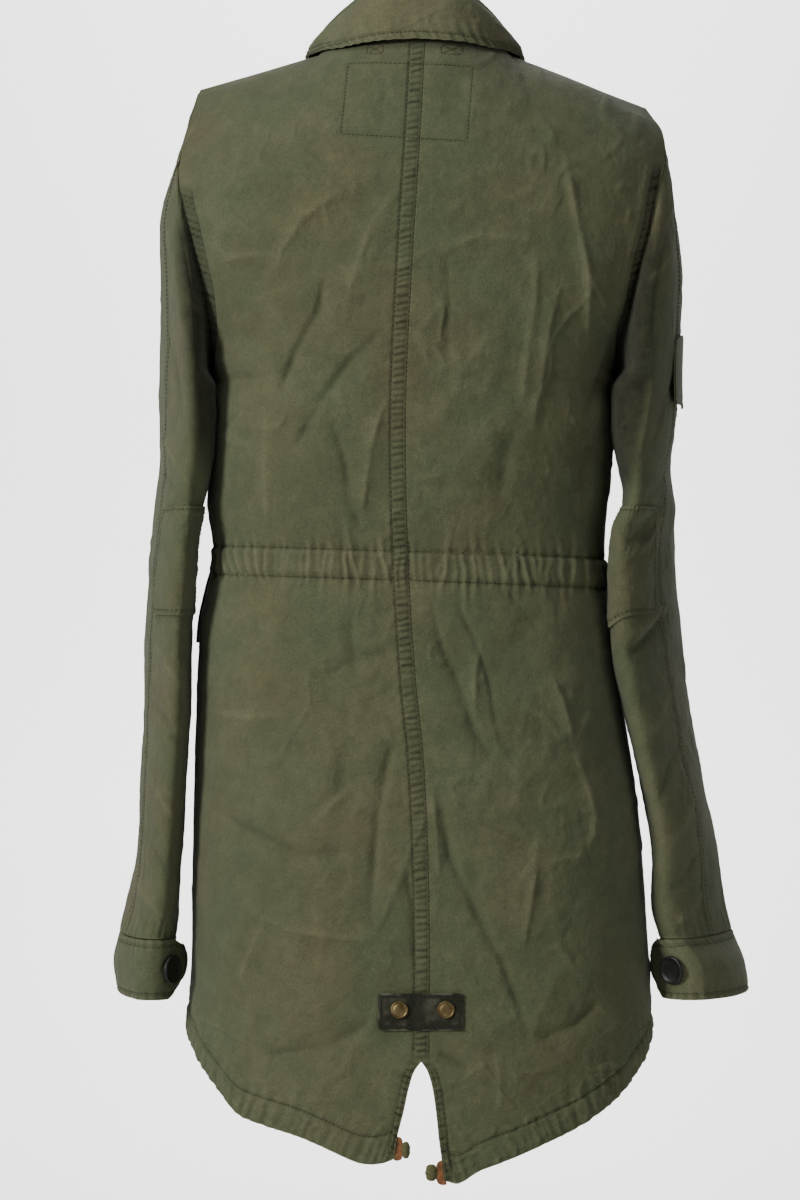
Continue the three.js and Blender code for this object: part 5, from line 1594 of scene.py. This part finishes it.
PLACKET_OFFSET = 0.9
for i, z in enumerate((-190, -300, -408, -516, -624)):
    place, above, below = (np.array(body_point(LEFT, "front", 0.01, z + d)) for d in (0, 3, -3))
    n = unit(np.array([0.0, -1.0, (above[1] - below[1]) / 6.0]))
    seat = np.array([place[0], place[1], z]) + n * (PLACKET_OFFSET + FLAP_CLOTH + 0.8)
    obj = lathe(f"front_button_cap_{i + 1}", button_profile(8.5, 3), seat, n, BUTTON)
    wear(obj, f"front_button_{i + 1}")


# Front placket over both panels' edges
def front_strip(width, cols):
    """Plain front surface along the centre line, from one side of it to the other"""
    halves = []
    for side in (RIGHT, LEFT):
        u = np.linspace(0, width, cols)
        rows = shoulder_rows(side, "front", u)
        for z in np.linspace(FRONT_YOKE, HIP, 90):
            rows.append(level_row(side, "front", u, z))
        end = lambda s: hem_line(side, "front", s) - HEM_BAND
        for share in np.linspace(0, 1, 60)[1:]:
            rows.append(low_row(side, "front", u, lambda s: mix(HIP, end(s), share)))
        halves.append(np.stack(rows))
    return np.concatenate([halves[0][:, :0:-1], halves[1]], 1)


q = front_strip(1 / FRONT_SHARES, 12)[2:]
n = normals(q, q + np.array([0, 60.0, 0]))
edge = side_edge(q)
wave = puckers(q[..., 2], 11.0, 151) * 0.35
lift = PLACKET_OFFSET + FLAP_CLOTH + wave * bump(edge, 9) - 0.5 * bump(edge - 6, 1.2)
# Puckers lighter on their ridges and darker in their hollows as painted shade
tone = 0.4 * wave * bump(edge, 8) - 0.2 * bump(edge - 6, 1.2) + 0.14 * bump(edge, 1.5)
q = q + n * lift[..., None]
cloth_piece(
    "placket_cloth", q, q - n, FLAP_CLOTH, tone, "front_placket", "laid", "front_left", "front_right"
)

# Hip pockets and flaps on the fronts, made from the front panels' shape


def front_patch(side, from_column, to_column, top, bottom, cols, rows):
    u = np.linspace(from_column / FRONT_SHARES, to_column / FRONT_SHARES, cols)
    out = []
    for v in np.linspace(0, 1, rows):
        z = mix(top, bottom, v)
        if z > HIP:
            out.append(level_row(side, "front", u, z))
        else:
            share = (HIP - z) / (HIP - SLIT_LEVEL)
            out.append(low_row(side, "front", u, lambda s: mix(HIP, slit_line("front", s), share)))
    return np.stack(out)


# Kind, levels of its upper and lower edge, rows and stand over the panel
HIP_PIECES = [("pocket", -396, -586, 60, 0.35), ("pocket_flap", -377, -432, 30, 0.7 + CLOTH)]
for side in (LEFT, RIGHT):
    for kind, top, bottom, rows, base in HIP_PIECES:
        flap = kind == "pocket_flap"
        q = front_patch(side, 4, 10, top, bottom, 70, rows)
        n = normals(q, centre_axis(q))
        edge = np.minimum(side_edge(q), -down_run(q, rows - 1))
        share = np.linspace(0, 1, 70)[None, :]
        v = np.linspace(0, 1, rows)[:, None]
        line = bump(edge - 5, 1.2)
        soft = 0.3 * soft_cloth(q[..., 0], q[..., 2], 160 + side, 0.7) * smooth(edge / 8)
        lift = base + CLOTH + 1.4 * flap * v * (0.3 + share) + soft - 0.45 * line + 0.3
        q = q + n * lift[..., None]
        cloth_piece(
            kind + "_cloth_" + NAME[side], q, q - n, CLOTH, 0.14 * bump(edge, 1.4) - 0.2 * line,
            kind + "_" + NAME[side], "laid", "front_" + NAME[side], material=DARK if flap else OLIVE,
        )

# Small flap on the outside of the right upper arm
flap_t = np.linspace(0.78, 0.955, 24)
flap_angle = np.linspace(62, 112, 40)
q = np.stack([cap_point(RIGHT, flap_angle, t) for t in flap_t])
n = normals(q, q + np.array([60.0, 0, 0]))
v = np.linspace(0, 2, 24)[:, None]
edge = np.minimum(side_edge(q), -down_run(q, 23))
line = bump(edge - 4, 1)
tone = 0.14 * bump(edge, 1.4) - 0.2 * line
q = q + n * (0.9 + FLAP_CLOTH + 0.4 * v * v - 0.4 * line)[..., None]
cloth_piece("arm_flap_cloth", q, q - n, FLAP_CLOTH, tone, "arm_flap_right", "laid", "sleeve_top_right")

# Drawcord ends: centre, width, length and arch of the leather end, centre and half width of the knot
CORD_ENDS = [
    (LEFT, 11.6, -789, 6.4, 17, 1.5, 6.8, -790, 3.1),
    (RIGHT, -17.2, -806, 7, 17.5, 2.5, -11.2, -806, 4.3),
]
for side, x0, z0, width, long, arch, knot_x, knot_z, knot in CORD_ENDS:
    y = float(plain_back(x0, z0)[1]) - HEM_CLOTH / 2
    v = np.linspace(-1, 1, 40)[:, None]
    a = np.linspace(0, 2 * np.pi, 29)[None, :]
    tip = smooth((np.abs(v) - 0.9) / 0.1)
    sx = power(np.cos(a), 0.5) * width / 2 * (1 - 0.12 * v**2 - 0.5 * tip)
    sy = power(np.sin(a), 0.6) * 1.2 * (1 - 0.4 * tip)
    grid = np.stack([x0 + sx + side * arch * v**2, y + sy + 0 * v, z0 + v * long / 2 + 0 * a], -1)
    faces = grid_faces(40, 29, True).tolist()
    faces.append(list(range(28)))
    faces.append([39 * 29 + k for k in range(27, -1, -1)])
    obj = make_object("leather_end_" + NAME[side], grid.reshape(-1, 3), faces, LEATHER)
    wear(obj, "cord_loop_" + NAME[side])
    theta = np.linspace(0.02, np.pi - 0.02, 30)[:, None]
    phi = np.linspace(0, 2 * np.pi, 41)[None, :]
    swirl = 1 + 0.07 * np.cos(phi + 9 * np.cos(theta)) * np.sin(theta)
    round_out = np.sin(theta) ** 0.7
    gx = knot * round_out * np.cos(phi) * swirl
    gy = 3.6 * round_out * np.sin(phi) * swirl
    gz = 6 * np.cos(theta) + 0 * phi
    grid = np.stack([knot_x + gx, y + gy, knot_z + gz], -1).reshape(-1, 3)
    obj = make_object("knot_" + NAME[side], grid, grid_faces(30, 41, True), CORD)
    wear(obj, "cord_knot_" + NAME[side])

# Stage, light and camera
FLOOR = -2.2


def backdrop():
    """A plain pale floor that curves up into a wall"""
    material, _, shader = new_material("pale_backdrop", 0.95)
    shader.inputs["Base Color"].default_value = (0.88, 0.88, 0.87, 1)
    profile = [(9.0, 0.0)]
    for a in np.linspace(0, math.pi / 2, 24):
        profile.append((-7.8 - 1.2 * math.sin(a), 1.2 - 1.2 * math.cos(a)))
    profile += [(-9.0, 9.0)]
    verts = [(x * 1000, y * 1000, (FLOOR + h) * 1000) for y, h in profile for x in (-12, 0, 12)]
    return make_object("backdrop", verts, grid_faces(len(profile), 3, False), material)


backdrop()


def area_light(name, place, target, size, watts):
    lamp = bpy.data.lights.new(name, "AREA")
    lamp.shape = "RECTANGLE"
    lamp.size, lamp.size_y = size
    lamp.energy = watts
    obj = bpy.data.objects.new(name, lamp)
    bpy.context.collection.objects.link(obj)
    obj.location = place
    obj.rotation_euler = (Vector(target) - Vector(place)).to_track_quat("-Z", "Y").to_euler()
    return obj


area_light("key", (2.72, 2.35, 0.75), (0, 0, -0.4), (0.8, 1.1), 117)
area_light("fill", (-2.6, 2.6, -0.5), (0, 0, -0.5), (2.0, 2.0), 23)
area_light("top", (0.6, 1.0, 2.2), (0, 0, -0.4), (1.4, 1.4), 25)
area_light("front_fill", (-0.6, -2.6, 1.6), (0, 0, -0.4), (1.6, 1.6), 40)
area_light("wall_top", (0, -6.2, 2.6), (0, -9.0, 0.4), (4.0, 1.0), 380)
area_light("wall_low", (0, -6.2, -1.9), (0, -9.0, -1.0), (4.0, 0.8), 235)

world = bpy.data.worlds.new("studio")
bpy.context.scene.world = world
world.use_nodes = True
background = world.node_tree.nodes["Background"]
background.inputs[0].default_value = (0.93, 0.95, 1.0, 1)
background.inputs[1].default_value = 0.08

camera_data = bpy.data.cameras.new("camera")
camera_data.lens = 113.5
camera_data.sensor_width = 36
camera_data.clip_end = 50
camera = bpy.data.objects.new("camera", camera_data)
bpy.context.collection.objects.link(camera)
camera.location = (0.011, 2.8, -0.400)
camera.rotation_euler = (math.radians(90), 0, math.radians(180))
bpy.context.scene.camera = camera
